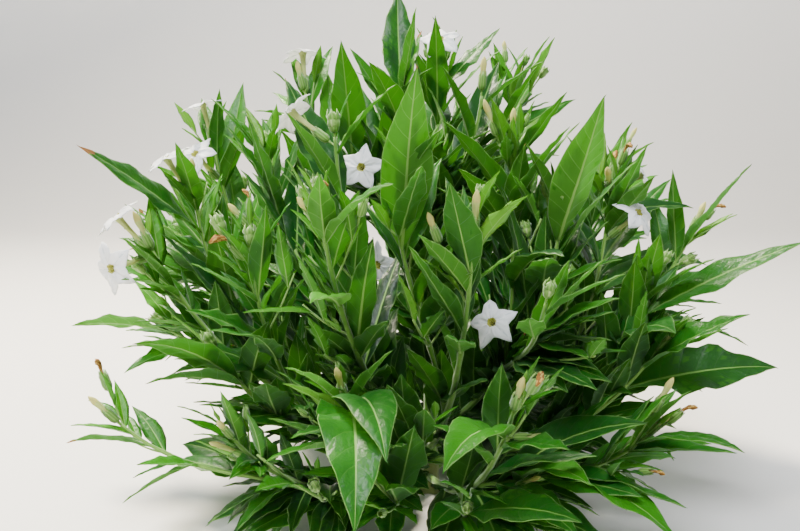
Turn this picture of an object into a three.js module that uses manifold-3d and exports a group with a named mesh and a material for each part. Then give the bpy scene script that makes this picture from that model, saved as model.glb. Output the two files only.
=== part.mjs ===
// A bushy tobacco plant in flower: one clump from one root, as it stands in a field.
// A short main stem rises from a flat cut at ground level and forks low down into bare boughs.
// Each bough ends where its foliage begins: a leafy stem that divides into flowering leaders,
// with lance-shaped leaves in a spiral, side twigs, white trumpet flowers, buds and seed capsules.
// Lengths are in millimetres and angles in degrees. +Z is up, +Y is the plant's rear, and the
// origin is the middle of the flat cut. An azimuth is counted from +X towards +Y.
import * as THREE from "three";
import { mergeVertices } from "three/addons/utils/BufferGeometryUtils.js";
import Module from "manifold-3d";

const wasm = await Module();
wasm.setup();

// The main stem: a stout foot with a root flare.
const STEM_HEIGHT = 84;
const STEM_FOOT_RADIUS = 13;
const STEM_TOP_RADIUS = 9.5;
const FLARE_WIDTH = 6;
const FLARE_HEIGHT = 16;
const FLARE_LOBES = 5;
const FLARE_HOLLOW = 0.3;
const STEM_SIDES = 15;
const STEM_ROWS = 8;

// Boughs and leaders: how thick they are, and how they leave and arrive.
const BOUGH_RADIUS = 4.2;
const LEAFY_RADIUS = 3.3;
const TIP_RADIUS = 1.5;
const SIDE_RADIUS = 2.5;
const LEAFY_FROM = 0.27;
const FORK_AT = 0.36;
const FORK_STEP = 0.07;
const LEAVE_LOWER = 20;
const ARRIVE_STEEPER = 26;
const HANDLE = 0.36;
const JOIN_GAP = 0.3;
const BOUGH_SUNK = 5;
const CURVE_POINTS = 14;
const LEAST_RISE = 8;
const MOST_RISE = 86;
const BOUGH_SIDES = 6;
const BOUGH_SPANS = 3;

// Leaves along a leader: they open widely and droop low down, and stand steeper near its tip.
const INTERNODE = 35;
const GOLDEN_ANGLE = 137.5;
const LEAF_ASPECT = 0.31;
const YOUNG_ASPECT = 0.24;
const WIDEST_AT = 0.38;
const OUTLINE_POWER = 0.95;
const MIDRIB_STEPS = 12;
const TIP_LEAF_SHARE = 0.5;
const OPENING_LOW = 62;
const OPENING_TIP = 32;
const DROOP_LOW = 58;
const DROOP_TIP = 14;
const LEAF_THICKNESS = 0.012;
const LEAST_THICKNESS = 1.1;
const LONG_LEAF = 127;
const LONG_LEAF_RINGS = [0, 0.28, 0.64, 1];
const KEEL = 6;
const LEAF_SIDES = 3;
const SUN_SEEKING = 0.14;
const TURNS = [0, 32, -32, 16, -16, 0];
const EASIER_OPENING = 0.1;
const EASIER_LENGTH = 0.08;
const EASIER_DROOP = 0.15;
const SHOWN_EASIER = 0.06;
const OPENING_SPREAD = 18;
const DROOP_LEAST = 0.35;
const DROOP_SPREAD = 1.1;
const SWAY_SPREAD = 24;
const LEAN_SPREAD = 50;
const SIZE_SPREAD = 0.2;
const ASPECT_SPREAD = 0.16;
const FULL_LENGTH_AT = 0.3;
const LOWEST_LEAF_SHARE = 0.82;
const FIRST_NODE = 0.6;
const CLEAR_OF_STEM = 0.2;
const RIB_FROM = 0.3;
const DROOP_CURVE = 1.5;

// Side twigs in the leaf axils.
const TWIG_NODE = 2;
const TWIG_LENGTH = 74;
const TWIG_LIFT = 0.12;
const TWIG_RADIUS = 1.5;
const TWIG_TIP_RADIUS = 1.1;
const TWIG_SIDES = 3;
const STEM_SPANS = 4;
const TWIG_SPANS = 2;
const ROUNDED = 1.5;
const TWIG_LEAVES = 2;
const TWIG_LEAF = 66;
const TWIG_LEAF_STEP = 0.15;
const TWIG_LEAF_INSET = 0.06;
const TWIG_LEAF_AGE = 0.9;
const TWIG_LEAF_TURN = 80;
const TWIG_BESIDE = 12;
const TWIG_OPENING = 36;
const TWIG_SPREAD = 12;
const TWIG_LENGTH_SPREAD = 0.5;

// Seeds: one stream of chance for each bough, leader, leaf and twig.
const FIRST_SEED = 101;
const BOUGH_SEED = 17;
const LEADER_SEED = 1000;
const SEED_STEP = 31;
const LEAF_SEED = 7;
const TWIG_SEED = 13;

// Flowers and fruit.
const PEDICEL = 8;
const STALK_RADIUS = 1.3;
const FLOWER_LENGTH = 44;
const FLOWER_RADIUS = 21.5;
const FLOWER_LOBES = 5;
const LIMB_DEPTH = 6;
const THROAT_DEPTH = 3;
const NOTCH_SHARE = 0.56;
const THROAT_RADIUS = 3.2;
const CALYX_RADIUS = 4.4;
const CALYX_LENGTH = 15;
const BUD_LENGTH = 40;
const CAPSULE_RADIUS = 6.6;
const CAPSULE_LENGTH = 20;
const WITHERED_LENGTH = 20;
const FRUIT_SIDES = 4;
const END_BLOOM_AT = 0.985;

// Room that a mass of foliage keeps to its neighbours, to bare limbs and to the ground, and that a
// leaf, as a share of its length, and a bloom keep inside their own mass.
const ROOM_BETWEEN = 5;
const ROOM_TO_LIMB = 2.5;
const ROOM_TO_GROUND = 4;
const ROOM_TO_LEAF = 0.085;
const ROOM_TO_BLOOM = 4;

// Every bough by the height of its foot on the main stem, and its leaders by where their tips
// stand: which way, how far out and how high. The first leader carries on the bough, and the others
// fork from it. first is the heading of the lowest leaf and longest the longest leaf's length.
// blooms sets flowers and fruit that show well, as [share of the leader, heading, rise, stage],
// and shown sets leaves that do, as [share of the leader, heading, rise, length, width, droop, roll].
const BOUGHS = [
  { name: "left_low", foot: 17, leaders: [
    { azimuth: 231, reach: 270, height: 138, first: 190, longest: 120,
      blooms: [[0.9, 215, 30, "bud"]],
      shown: [[0.96, 250, 65, 72, 18, 5, 0], [0.62, 225, 15, 115, 26, 45, 20]] },
    { azimuth: 204, reach: 318, height: 121, first: 100, longest: 105,
      shown: [[0.86, 165, 5, 95, 18, 25, 30], [0.4, 145, 15, 115, 42, 30, -30]] },
    { azimuth: 243, reach: 222, height: 84, first: 250, longest: 110 }
  ] },
  { name: "front_low", foot: 33, leaders: [
    { azimuth: 255, reach: 279, height: 194, first: 265, longest: 160,
      shown: [[0.94, 275, 25, 165, 52, 105, 0], [0.96, 235, 45, 90, 22, 25, 0],
        [0.96, 285, 35, 140, 42, 90, 0]] },
    { azimuth: 262, reach: 232, height: 92, first: 200, longest: 120,
      shown: [[0.9, 265, 40, 125, 40, 30, -20], [0.75, 282, 58, 118, 38, 12, 0]] },
    { azimuth: 268, reach: 215, height: 150, first: 0, longest: 135,
      shown: [[0.5, 265, 62, 116, 36, 8, 0], [0.75, 245, 55, 100, 30, 12, 0]] }
  ] },
  { name: "front_right_low", foot: 17, leaders: [
    { azimuth: 281, reach: 290, height: 190, first: 335, longest: 160,
      blooms: [[0.9, 330, 12, "bud"]],
      shown: [[0.82, 265, 65, 100, 26, 4, 0], [0.9, 242, 30, 120, 40, 66, 0]] },
    { azimuth: 276, reach: 236, height: 84, first: 250, longest: 130,
      shown: [[0.48, 320, 65, 70, 18, 5, 0], [0.9, 310, 30, 130, 40, 35, 20],
        [0.2, 280, 58, 102, 34, 10, 0]] },
    { azimuth: 315, reach: 258, height: 128, first: 20, longest: 150,
      shown: [[0.22, 325, 45, 165, 42, 35, 30], [0.96, 300, 30, 120, 30, 40, 0]] }
  ] },
  { name: "left_front", foot: 40, leaders: [
    { azimuth: 222, reach: 256, height: 205, first: 170, longest: 150,
      shown: [[0.88, 235, 40, 130, 30, 35, 40], [0.86, 230, 25, 105, 26, 30, 30]] },
    { azimuth: 231, reach: 245, height: 297, first: 120, longest: 120,
      blooms: [[0.95, 200, 50, "withered"]],
      shown: [[0.84, 295, 70, 90, 20, 5, 0]] }
  ] },
  { name: "left", foot: 50, leaders: [
    { azimuth: 207, reach: 284, height: 286, first: 150, longest: 140,
      blooms: [[0.98, 190, 50, "open"], [0.99, 240, -5, "open"]] },
    { azimuth: 197, reach: 237, height: 330, first: 172, longest: 160,
      blooms: [[0.97, 200, 60, "open"]],
      shown: [[0.86, 225, 40, 150, 34, 10, -45], [0.36, 215, 55, 152, 40, 8, -30],
        [0.16, 220, 35, 150, 36, 30, 40]] }
  ] },
  { name: "left_rear", foot: 33, leaders: [
    { azimuth: 170, reach: 233, height: 375, first: 90, longest: 150,
      blooms: [[0.98, 160, 75, "open"], [0.9, 240, 40, "open"]],
      shown: [[0.76, 110, 55, 120, 28, 5, 20], [0.88, 75, 65, 130, 32, 5, 0],
        [0.96, 320, 85, 75, 20, 5, 0]] },
    { azimuth: 172, reach: 290, height: 170, first: 200, longest: 150,
      shown: [[0.96, 170, 10, 125, 32, 25, 40]] },
    { azimuth: 160, reach: 300, height: 265, first: 150, longest: 140 }
  ] },
  { name: "front_left", foot: 62, leaders: [
    { azimuth: 250, reach: 265, height: 334, first: 300, longest: 140,
      blooms: [[0.97, 215, 50, "bud"]],
      shown: [[0.94, 270, 50, 78, 22, 5, 0], [0.94, 305, 40, 110, 20, 30, 30],
        [0.56, 65, 55, 130, 24, 15, 0], [0.62, 280, 55, 150, 24, 12, 0]] },
    { azimuth: 237, reach: 160, height: 388, first: 255, longest: 155,
      blooms: [[0.97, 160, 35, "open"]],
      shown: [[0.78, 125, 50, 150, 42, 5, 0]] },
    { azimuth: 205, reach: 172, height: 370, first: 60, longest: 150,
      shown: [[0.74, 250, 60, 120, 26, 5, -30]] }
  ] },
  { name: "front_middle", foot: 50, leaders: [
    { azimuth: 276, reach: 251, height: 315, first: 100, longest: 140,
      shown: [[0.92, 245, 60, 90, 30, 5, 0], [0.76, 230, 50, 110, 22, 5, 0],
        [0.3, 315, 30, 70, 18, 25, 0], [0.3, 266, 58, 118, 34, 8, 0]] },
    { azimuth: 260, reach: 208, height: 362, first: 330, longest: 160,
      shown: [[0.76, 280, 70, 158, 42, 4, 0], [0.1, 245, 45, 110, 28, 12, 0]] }
  ] },
  { name: "front_right", foot: 62, leaders: [
    { azimuth: 307, reach: 188, height: 330, first: 60, longest: 170,
      shown: [[0.64, 210, 80, 135, 24, 15, 0], [0.9, 280, 55, 160, 38, 5, 0]] },
    { azimuth: 290, reach: 250, height: 262, first: 20, longest: 150,
      shown: [[0.78, 295, 60, 85, 24, 5, 0]] },
    { azimuth: 304, reach: 128, height: 375, first: 10, longest: 150,
      blooms: [[0.16, 243, 32, "open"]],
      shown: [[0.22, 295, 50, 105, 24, 12, 20], [0.74, 290, 45, 130, 28, 15, 30]] }
  ] },
  { name: "right_low", foot: 33, leaders: [
    { azimuth: 328, reach: 244, height: 195, first: 10, longest: 150,
      blooms: [[0.97, 335, 52, "bud"]],
      shown: [[0.32, 355, 70, 92, 26, 6, 0], [0.82, 5, 15, 155, 52, 25, 40],
        [0.92, 310, 40, 125, 30, 15, 35]] },
    { azimuth: 335, reach: 225, height: 245, first: 345, longest: 165,
      shown: [[0.86, 335, 35, 165, 34, 12, 35], [0.72, 280, 40, 110, 44, 55, 20]] }
  ] },
  { name: "right", foot: 50, leaders: [
    { azimuth: 358, reach: 270, height: 283, first: 40, longest: 140,
      blooms: [[0.9, 330, 30, "capsule"]],
      shown: [[0.34, 285, 60, 118, 26, 4, 0], [0.92, 225, 80, 98, 20, 4, 0],
        [0.96, 295, 50, 125, 26, 6, 30]] },
    { azimuth: 350, reach: 184, height: 335, first: 330, longest: 140,
      blooms: [[0.77, 310, 40, "open"], [0.97, 250, 40, "bud"]],
      shown: [[0.52, 25, 25, 160, 42, 50, 30], [0.84, 290, 55, 105, 30, 6, 20],
        [0.66, 30, 50, 130, 28, 25, 20], [0.88, 5, 15, 90, 20, 30, 30]] }
  ] },
  { name: "top", foot: 84, leaders: [
    { azimuth: 225, reach: 42, height: 440, first: 280, longest: 150,
      blooms: [[0.5, 220, -5, "open"]],
      shown: [[0.96, 95, 65, 120, 34, 4, 0], [0.96, 330, 80, 85, 20, 4, 0]] },
    { azimuth: 75, reach: 54, height: 450, first: 0, longest: 140,
      blooms: [[0.97, 265, 50, "open"]],
      shown: [[0.78, 265, 60, 125, 24, 4, 0], [0.92, 25, 45, 100, 24, 5, 20]] },
    { azimuth: 318, reach: 66, height: 424, first: 10, longest: 150,
      shown: [[0.7, 60, 55, 120, 26, 8, 20]] },
    { azimuth: 36, reach: 118, height: 430, first: 320, longest: 140,
      blooms: [[0.95, 60, 60, "bud"]],
      shown: [[0.66, 25, 30, 125, 28, 15, 30], [0.82, 295, 45, 90, 18, 5, 20]] },
    { azimuth: 167, reach: 133, height: 425, first: 200, longest: 140,
      blooms: [[0.37, 258, 18, "open"], [0.97, 110, 75, "open"]],
      shown: [[0.52, 265, 60, 140, 34, 5, 0], [0.96, 120, 55, 70, 16, 5, 0]] }
  ] },
  { name: "rear_right", foot: 62, leaders: [
    { azimuth: 28, reach: 237, height: 340, first: 30, longest: 150,
      blooms: [[0.93, 350, 25, "open"]] },
    { azimuth: 22, reach: 300, height: 200, first: 0, longest: 150 },
    { azimuth: 48, reach: 262, height: 262, first: 90, longest: 150,
      blooms: [[0.95, 60, 30, "open"]] }
  ] },
  { name: "rear_middle", foot: 50, leaders: [
    { azimuth: 88, reach: 240, height: 322, first: 80, longest: 150,
      blooms: [[0.95, 100, 20, "open"]],
      shown: [[0.3, 90, 45, 150, 50, 10, 0]] },
    { azimuth: 66, reach: 230, height: 345, first: 50, longest: 150 },
    { azimuth: 92, reach: 296, height: 165, first: 10, longest: 150 }
  ] },
  { name: "rear_left", foot: 62, leaders: [
    { azimuth: 125, reach: 244, height: 330, first: 120, longest: 150,
      blooms: [[0.95, 150, 35, "open"]] },
    { azimuth: 146, reach: 278, height: 290, first: 160, longest: 150,
      blooms: [[0.9, 140, 10, "open"]] },
    { azimuth: 124, reach: 300, height: 185, first: 100, longest: 150 }
  ] },
  { name: "rear_low", foot: 17, leaders: [
    { azimuth: 55, reach: 282, height: 130, first: 20, longest: 140 },
    { azimuth: 74, reach: 262, height: 105, first: 100, longest: 130 },
    { azimuth: 36, reach: 290, height: 112, first: 0, longest: 130 }
  ] },
];

const LEAF_GREEN = new THREE.Color("#4f8f1f");
const STEM_GREEN = new THREE.Color("#7a9a4a");

const radians = THREE.MathUtils.degToRad;
const mix = THREE.MathUtils.lerp;

// A repeatable stream of numbers from 0 to 1.
function dice(seed) {
  let state = seed >>> 0;
  return () => {
    state = (state + 0x6d2b79f5) >>> 0;
    let t = Math.imul(state ^ (state >>> 15), state | 1);
    t ^= t + Math.imul(t ^ (t >>> 7), t | 61);
    return ((t ^ (t >>> 14)) >>> 0) / 4294967296;
  };
}

function direction(azimuth, elevation) {
  const flat = Math.cos(radians(elevation));
  return new THREE.Vector3(
    flat * Math.cos(radians(azimuth)),
    flat * Math.sin(radians(azimuth)),
    Math.sin(radians(elevation)),
  );
}

// The limb from start to tip: it leaves lower than the straight line and arrives steeper.
function limbCurve(start, tip, leaving) {
  const chord = tip.clone().sub(start);
  const span = chord.length();
  const azimuth = THREE.MathUtils.radToDeg(Math.atan2(chord.y, chord.x));
  const rise = THREE.MathUtils.radToDeg(Math.asin(chord.z / span));
  const out = leaving ?? direction(azimuth, Math.max(rise - LEAVE_LOWER, LEAST_RISE));
  const up = direction(azimuth, Math.min(rise + ARRIVE_STEEPER, MOST_RISE));
  return new THREE.CubicBezierCurve3(
    start,
    start.clone().addScaledVector(out, HANDLE * span),
    tip.clone().addScaledVector(up, -HANDLE * span),
    tip,
  );
}

// A curve as points for measuring distances.
function pointsAlong(curve) {
  return Array.from({ length: CURVE_POINTS + 1 }, (_, i) => curve.getPoint(i / CURVE_POINTS));
}

function distanceToPoints(p, points) {
  let least = Infinity;
  const nearest = new THREE.Vector3();
  const line = new THREE.Line3();
  for (let i = 1; i < points.length; i++) {
    line.set(points[i - 1], points[i]).closestPointToPoint(p, true, nearest);
    least = Math.min(least, nearest.distanceTo(p));
  }
  return least;
}

function stemRadius(z, azimuth = 0) {
  const flare = Math.max(1 - z / FLARE_HEIGHT, 0) ** 2;
  const lobes = 1 - FLARE_HOLLOW * (1 - Math.cos(FLARE_LOBES * radians(azimuth)));
  return mix(STEM_FOOT_RADIUS, STEM_TOP_RADIUS, z / STEM_HEIGHT) + FLARE_WIDTH * flare * lobes;
}

// The points that a leader's solid stem is drawn through, and the place of a share on that line.
function stemLine(curve, from) {
  return Array.from({ length: STEM_SPANS + 1 }, (_, i) => curve.getPoint(mix(from, 1, i / STEM_SPANS)));
}

function onStem(leader, at) {
  const place = (STEM_SPANS * (at - leader.from)) / (1 - leader.from);
  const span = Math.min(Math.floor(place), STEM_SPANS - 1);
  return leader.line[span].clone().lerp(leader.line[span + 1], place - span);
}

// Growth: every leader's curve, in its bough.
function growBoughs() {
  return BOUGHS.map((row, index) => {
    const main = row.leaders[0];
    const onTop = row.foot >= STEM_HEIGHT;
    const out = onTop ? 0 : stemRadius(row.foot) - BOUGH_SUNK;
    const foot = direction(main.azimuth, 0).multiplyScalar(out);
    foot.z = onTop ? STEM_HEIGHT + JOIN_GAP : row.foot;
    const tipOf = (leader) => direction(leader.azimuth, 0).multiplyScalar(leader.reach).setZ(leader.height);
    const bough = limbCurve(foot, tipOf(main), onTop ? direction(0, 90) : undefined);
    const line = stemLine(bough, LEAFY_FROM);
    const first = { ...main, curve: bough, from: LEAFY_FROM, radius: LEAFY_RADIUS, line };
    const sides = row.leaders.slice(1).map((leader, k) => {
      const forkAt = FORK_AT + FORK_STEP * k;
      const fork = onStem(first, forkAt);
      const leaving = bough.getTangent(forkAt).add(tipOf(leader).sub(fork).normalize()).normalize();
      const curve = limbCurve(fork, tipOf(leader), leaving);
      return { ...leader, curve, from: 0, radius: SIDE_RADIUS, line: stemLine(curve, 0) };
    });
    const leaders = [first, ...sides];
    const lines = leaders.map((leader) => pointsAlong(leader.curve));
    return { name: row.name, seed: FIRST_SEED + BOUGH_SEED * index, leaders, lines };
  });
}

// A point keeps to a mass's own space when it is nearer to that mass's limbs than to any other's.
function keepsToSpace(p, own, all, margin) {
  if (p.z < ROOM_TO_GROUND + margin) return false;
  const room = ROOM_TO_LIMB + BOUGH_RADIUS;
  if (p.z < STEM_HEIGHT + BOUGH_RADIUS && Math.hypot(p.x, p.y) < stemRadius(p.z) + room) return false;
  const mine = Math.min(...own.lines.map((line) => distanceToPoints(p, line)));
  return all.every((other) =>
    other === own ||
    other.lines.every((line) => distanceToPoints(p, line) > mine + ROOM_BETWEEN + margin));
}

// Along a leaf: how wide it is at a share s of its length, as a share of its greatest width.
function outline(s) {
  const fall = (OUTLINE_POWER * (1 - WIDEST_AT)) / WIDEST_AT;
  return (s / WIDEST_AT) ** OUTLINE_POWER * ((1 - s) / (1 - WIDEST_AT)) ** fall;
}

// A leaf's midrib as frames: its point, the way it runs, its upper side and its left side.
function midrib(leaf) {
  const frames = [];
  const p = leaf.root.clone();
  for (let k = 0; k <= MIDRIB_STEPS; k++) {
    const s = k / MIDRIB_STEPS;
    const rise = leaf.rise - leaf.droop * s ** DROOP_CURVE;
    const azimuth = leaf.azimuth + leaf.sway * s;
    const along = direction(azimuth, rise);
    const up = direction(azimuth, rise + 90).applyAxisAngle(along, radians(leaf.roll * Math.min(3 * s, 1)));
    const left = new THREE.Vector3().crossVectors(up, along);
    frames.push({ s, p: p.clone(), along, up, left });
    p.addScaledVector(along, leaf.length / MIDRIB_STEPS);
  }
  return frames;
}

function leafEdges(leaf, frame) {
  const half = (leaf.width / 2) * outline(frame.s);
  const lift = half * Math.sin(radians(KEEL));
  const side = half * Math.cos(radians(KEEL));
  return [1, -1].map((sign) =>
    frame.p.clone().addScaledVector(frame.left, sign * side).addScaledVector(frame.up, lift));
}

// A leaf may stand where all of it keeps to its mass's space, and its midrib to its own room there.
function leafFits(leaf, mass, all) {
  const frames = midrib(leaf).filter((frame) => frame.s > CLEAR_OF_STEM);
  const ribs = frames.filter((frame) => frame.s > RIB_FROM).map((frame) => frame.p);
  const room = ROOM_TO_LEAF * leaf.length;
  if (ribs.some((p) => mass.taken.some((q) => p.distanceTo(q) < room))) return false;
  if (!frames.every((frame) =>
    [frame.p, ...leafEdges(leaf, frame)].every((p) => keepsToSpace(p, mass, all, 0)))) return false;
  mass.taken.push(...ribs);
  return true;
}

// The way a shoot leaves its stem at a heading round it, opened by an angle and drawn to the light.
function leavingStem(tangent, heading, angle) {
  const flat = direction(heading, 0);
  const side = flat.addScaledVector(tangent, -flat.dot(tangent)).normalize();
  const out = tangent.clone().multiplyScalar(Math.cos(radians(angle)));
  out.addScaledVector(side, Math.sin(radians(angle)));
  out.z += SUN_SEEKING;
  return out.normalize();
}

const headingOf = (v) => THREE.MathUtils.radToDeg(Math.atan2(v.y, v.x));
const riseOf = (v) => THREE.MathUtils.radToDeg(Math.asin(THREE.MathUtils.clamp(v.z, -1, 1)));

// One leaf at a point of a stem. Where it has no room it is tried turned, steeper and shorter, and
// is then left out.
function growLeaf(root, tangent, heading, length, age, roll, mass, all) {
  const opening = mix(OPENING_LOW, OPENING_TIP, age) + OPENING_SPREAD * (roll() - 0.5);
  const droop = mix(DROOP_LOW, DROOP_TIP, age) * (DROOP_LEAST + DROOP_SPREAD * roll());
  const sway = SWAY_SPREAD * (roll() - 0.5);
  const lean = LEAN_SPREAD * (roll() - 0.5);
  const size = length * (1 + SIZE_SPREAD * (roll() - 0.5));
  const aspect = mix(LEAF_ASPECT, YOUNG_ASPECT, age) * (1 + ASPECT_SPREAD * (roll() - 0.5));
  for (const [k, turn] of TURNS.entries()) {
    const out = leavingStem(tangent, heading + turn, opening * (1 - EASIER_OPENING * k));
    const own = size * (1 - EASIER_LENGTH * k);
    const leaf = {
      root, length: own, width: own * aspect, azimuth: headingOf(out), rise: riseOf(out),
      droop: droop * (1 - EASIER_DROOP * k), sway, roll: lean,
    };
    if (leafFits(leaf, mass, all)) return leaf;
  }
  return null;
}

// A leaf that is set by the table is only made shorter where it has no room.
function setLeaf(leader, [at, azimuth, rise, length, width, droop, roll], mass, all) {
  const root = onStem(leader, at);
  for (const [k] of TURNS.entries()) {
    const share = 1 - SHOWN_EASIER * k;
    const leaf = { root, length: length * share, width: width * share, azimuth, rise, droop, sway: 0, roll };
    if (leafFits(leaf, mass, all)) return leaf;
  }
  return null;
}

// Stages of a bloom, with how often each comes, how far it reaches and how wide it is.
const STAGES = {
  bud: { until: 0.42, reach: BUD_LENGTH, radius: CALYX_RADIUS },
  capsule: { until: 0.72, reach: CAPSULE_LENGTH, radius: CAPSULE_RADIUS },
  withered: { until: 0.9, reach: WITHERED_LENGTH, radius: CAPSULE_RADIUS },
  open: { until: 1, reach: FLOWER_LENGTH, radius: FLOWER_RADIUS },
};

function stageOf(chance) {
  return Object.keys(STAGES).find((name) => chance < STAGES[name].until);
}

function growBloom(root, along, stage, mass, all) {
  const { reach, radius } = STAGES[stage];
  const face = root.clone().addScaledVector(along, PEDICEL + reach);
  const side = new THREE.Vector3(-along.y, along.x, 0).normalize();
  const top = along.clone().cross(side);
  const rim = [side, top].flatMap((v) =>
    [radius, -radius].map((r) => face.clone().addScaledVector(v, r)));
  if (![face, ...rim].every((p) => keepsToSpace(p, mass, all, 0))) return null;
  if (mass.taken.some((q) => q.distanceTo(face) < radius + ROOM_TO_BLOOM)) return null;
  mass.taken.push(face, face.clone().addScaledVector(along, -reach / 2));
  return { root, along, stage };
}

// How long a leaf is at a share u of its leafy stem, as a share of the longest.
function lengthShare(u) {
  if (u < FULL_LENGTH_AT) return mix(LOWEST_LEAF_SHARE, 1, u / FULL_LENGTH_AT);
  return mix(1, TIP_LEAF_SHARE, (u - FULL_LENGTH_AT) / (1 - FULL_LENGTH_AT));
}

// Everything that grows on one bough's leafy stems: what the table sets comes first.
function growMass(mass, all) {
  mass.taken = [];
  const grown = { leaves: [], twigs: [], blooms: [] };
  const keep = (kind, made) => made && grown[kind].push(made);
  for (const leader of mass.leaders) {
    for (const [at, azimuth, rise, stage] of leader.blooms ?? []) {
      keep("blooms", growBloom(onStem(leader, at), direction(azimuth, rise), stage, mass, all));
    }
  }
  for (const leader of mass.leaders) {
    for (const shown of leader.shown ?? []) keep("leaves", setLeaf(leader, shown, mass, all));
  }
  mass.leaders.forEach((leader, k) => {
    const seed = mass.seed + LEADER_SEED * k;
    const roll = dice(seed);
    const end = onStem(leader, END_BLOOM_AT);
    keep("blooms", growBloom(end, leader.curve.getTangent(1), stageOf(roll()), mass, all));
    const count = Math.round((leader.curve.getLength() * (1 - leader.from)) / INTERNODE);
    for (let i = 0; i < count; i++) {
      const u = (i + FIRST_NODE) / count;
      const at = mix(leader.from, 1, u);
      const root = onStem(leader, at);
      const tangent = leader.curve.getTangent(at);
      const heading = leader.first + GOLDEN_ANGLE * i;
      const length = leader.longest * lengthShare(u);
      const own = seed + SEED_STEP * i;
      keep("leaves", growLeaf(root, tangent, heading, length, u, dice(own + LEAF_SEED), mass, all));
      if (i === TWIG_NODE) {
        growTwig(root, tangent, heading + TWIG_BESIDE, dice(own + TWIG_SEED), mass, all, keep);
      }
    }
  });
  return grown;
}

// A short side twig with a pair of small leaves.
function growTwig(foot, tangentThere, heading, roll, mass, all, keep) {
  const length = TWIG_LENGTH * (1 + TWIG_LENGTH_SPREAD * (roll() - 0.5));
  const out = leavingStem(tangentThere, heading, TWIG_OPENING + TWIG_SPREAD * (roll() - 0.5));
  const bend = foot.clone().addScaledVector(out, length / 2);
  const tip = foot.clone().addScaledVector(out, length);
  tip.z += TWIG_LIFT * length;
  const curve = new THREE.QuadraticBezierCurve3(foot, bend, tip);
  if (![0.5, 0.75, 1].every((t) => keepsToSpace(curve.getPoint(t), mass, all, TWIG_RADIUS))) return;
  keep("twigs", { curve });
  for (let i = 0; i < TWIG_LEAVES; i++) {
    const at = (i + 1) / TWIG_LEAVES - TWIG_LEAF_INSET;
    const size = TWIG_LEAF * (1 - TWIG_LEAF_STEP * i);
    const turned = heading + TWIG_LEAF_TURN + GOLDEN_ANGLE * i;
    const [root, tangent] = [curve.getPoint(at), curve.getTangent(at)];
    keep("leaves", growLeaf(root, tangent, turned, size, TWIG_LEAF_AGE, roll, mass, all));
  }
}

// Solids. A closed mesh becomes a manifold-3d solid once its equal vertices are merged.
function solidOf(geometry) {
  const bare = geometry.clone();
  for (const name of ["normal", "uv"]) bare.deleteAttribute(name);
  const merged = mergeVertices(bare, 1e-3);
  return new wasm.Manifold(new wasm.Mesh({
    numProp: 3,
    vertProperties: new Float32Array(merged.attributes.position.array),
    triVerts: new Uint32Array(merged.index.array),
  }));
}

function meshOf(name, solid, colour, roughness) {
  const parts = solid.decompose().sort((a, b) => b.volume() - a.volume());
  const { numProp, vertProperties, triVerts } = parts[0].getMesh();
  const count = vertProperties.length / numProp;
  const places = new Float32Array(3 * count);
  for (let i = 0; i < count; i++) places.set(vertProperties.subarray(numProp * i, numProp * i + 3), 3 * i);
  const geometry = new THREE.BufferGeometry();
  geometry.setAttribute("position", new THREE.BufferAttribute(places, 3));
  geometry.setIndex(new THREE.BufferAttribute(triVerts, 1));
  geometry.computeVertexNormals();
  const material = new THREE.MeshStandardMaterial({ color: colour, roughness, metalness: 0 });
  const mesh = new THREE.Mesh(geometry, material);
  mesh.name = name;
  return mesh;
}

// A tapered cylinder bent along a curve between two shares of it.
function limbSolid(curve, from, to, radiusFrom, radiusTo, sides, spans) {
  const limb = new THREE.CylinderGeometry(radiusTo, radiusFrom, 1, sides, spans);
  const place = limb.attributes.position;
  const v = new THREE.Vector3();
  for (let i = 0; i < place.count; i++) {
    v.fromBufferAttribute(place, i);
    const at = mix(from, to, v.y + 0.5);
    const tangent = curve.getTangent(at);
    const right = new THREE.Vector3(-tangent.y, tangent.x, 0);
    if (right.length() < 1e-6) right.set(1, 0, 0);
    right.normalize();
    const front = new THREE.Vector3().crossVectors(tangent, right);
    const p = curve.getPoint(at).addScaledVector(right, v.x).addScaledVector(front, -v.z);
    place.setXYZ(i, p.x, p.y, p.z);
  }
  return solidOf(limb);
}

// A three-sided twig is drawn wider, so that its section is about as large as a round one's.
function twigSolid(curve, from, radiusFrom, radiusTo, spans) {
  return limbSolid(curve, from, 1, ROUNDED * radiusFrom, ROUNDED * radiusTo, TWIG_SIDES, spans);
}

// A leaf: a slim three-sided spindle, whose rings are opened to the outline and bent to the midrib.
function leafSolid(leaf) {
  const rings = leaf.length > LONG_LEAF ? LONG_LEAF_RINGS : [0, WIDEST_AT, 1];
  const spans = rings.length - 1;
  const blade = new THREE.CylinderGeometry(0, 0, 1, LEAF_SIDES, spans);
  const frames = midrib(leaf);
  const thick = Math.max(LEAF_THICKNESS * leaf.length, LEAST_THICKNESS);
  const place = blade.attributes.position;
  const cell = LEAF_SIDES + 1;
  for (let i = 0; i < place.count; i++) {
    const ring = spans - Math.floor(i / cell);
    const frame = frames[Math.round(rings[ring] * MIDRIB_STEPS)];
    const p = frame.p.clone();
    if (ring > 0 && ring < spans) {
      const [left, right] = leafEdges(leaf, frame);
      const under = frame.p.clone().addScaledVector(frame.up, -thick);
      p.copy([right, under, left][(i % cell) % LEAF_SIDES]);
    }
    place.setXYZ(i, p.x, p.y, p.z);
  }
  return solidOf(blade);
}

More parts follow.
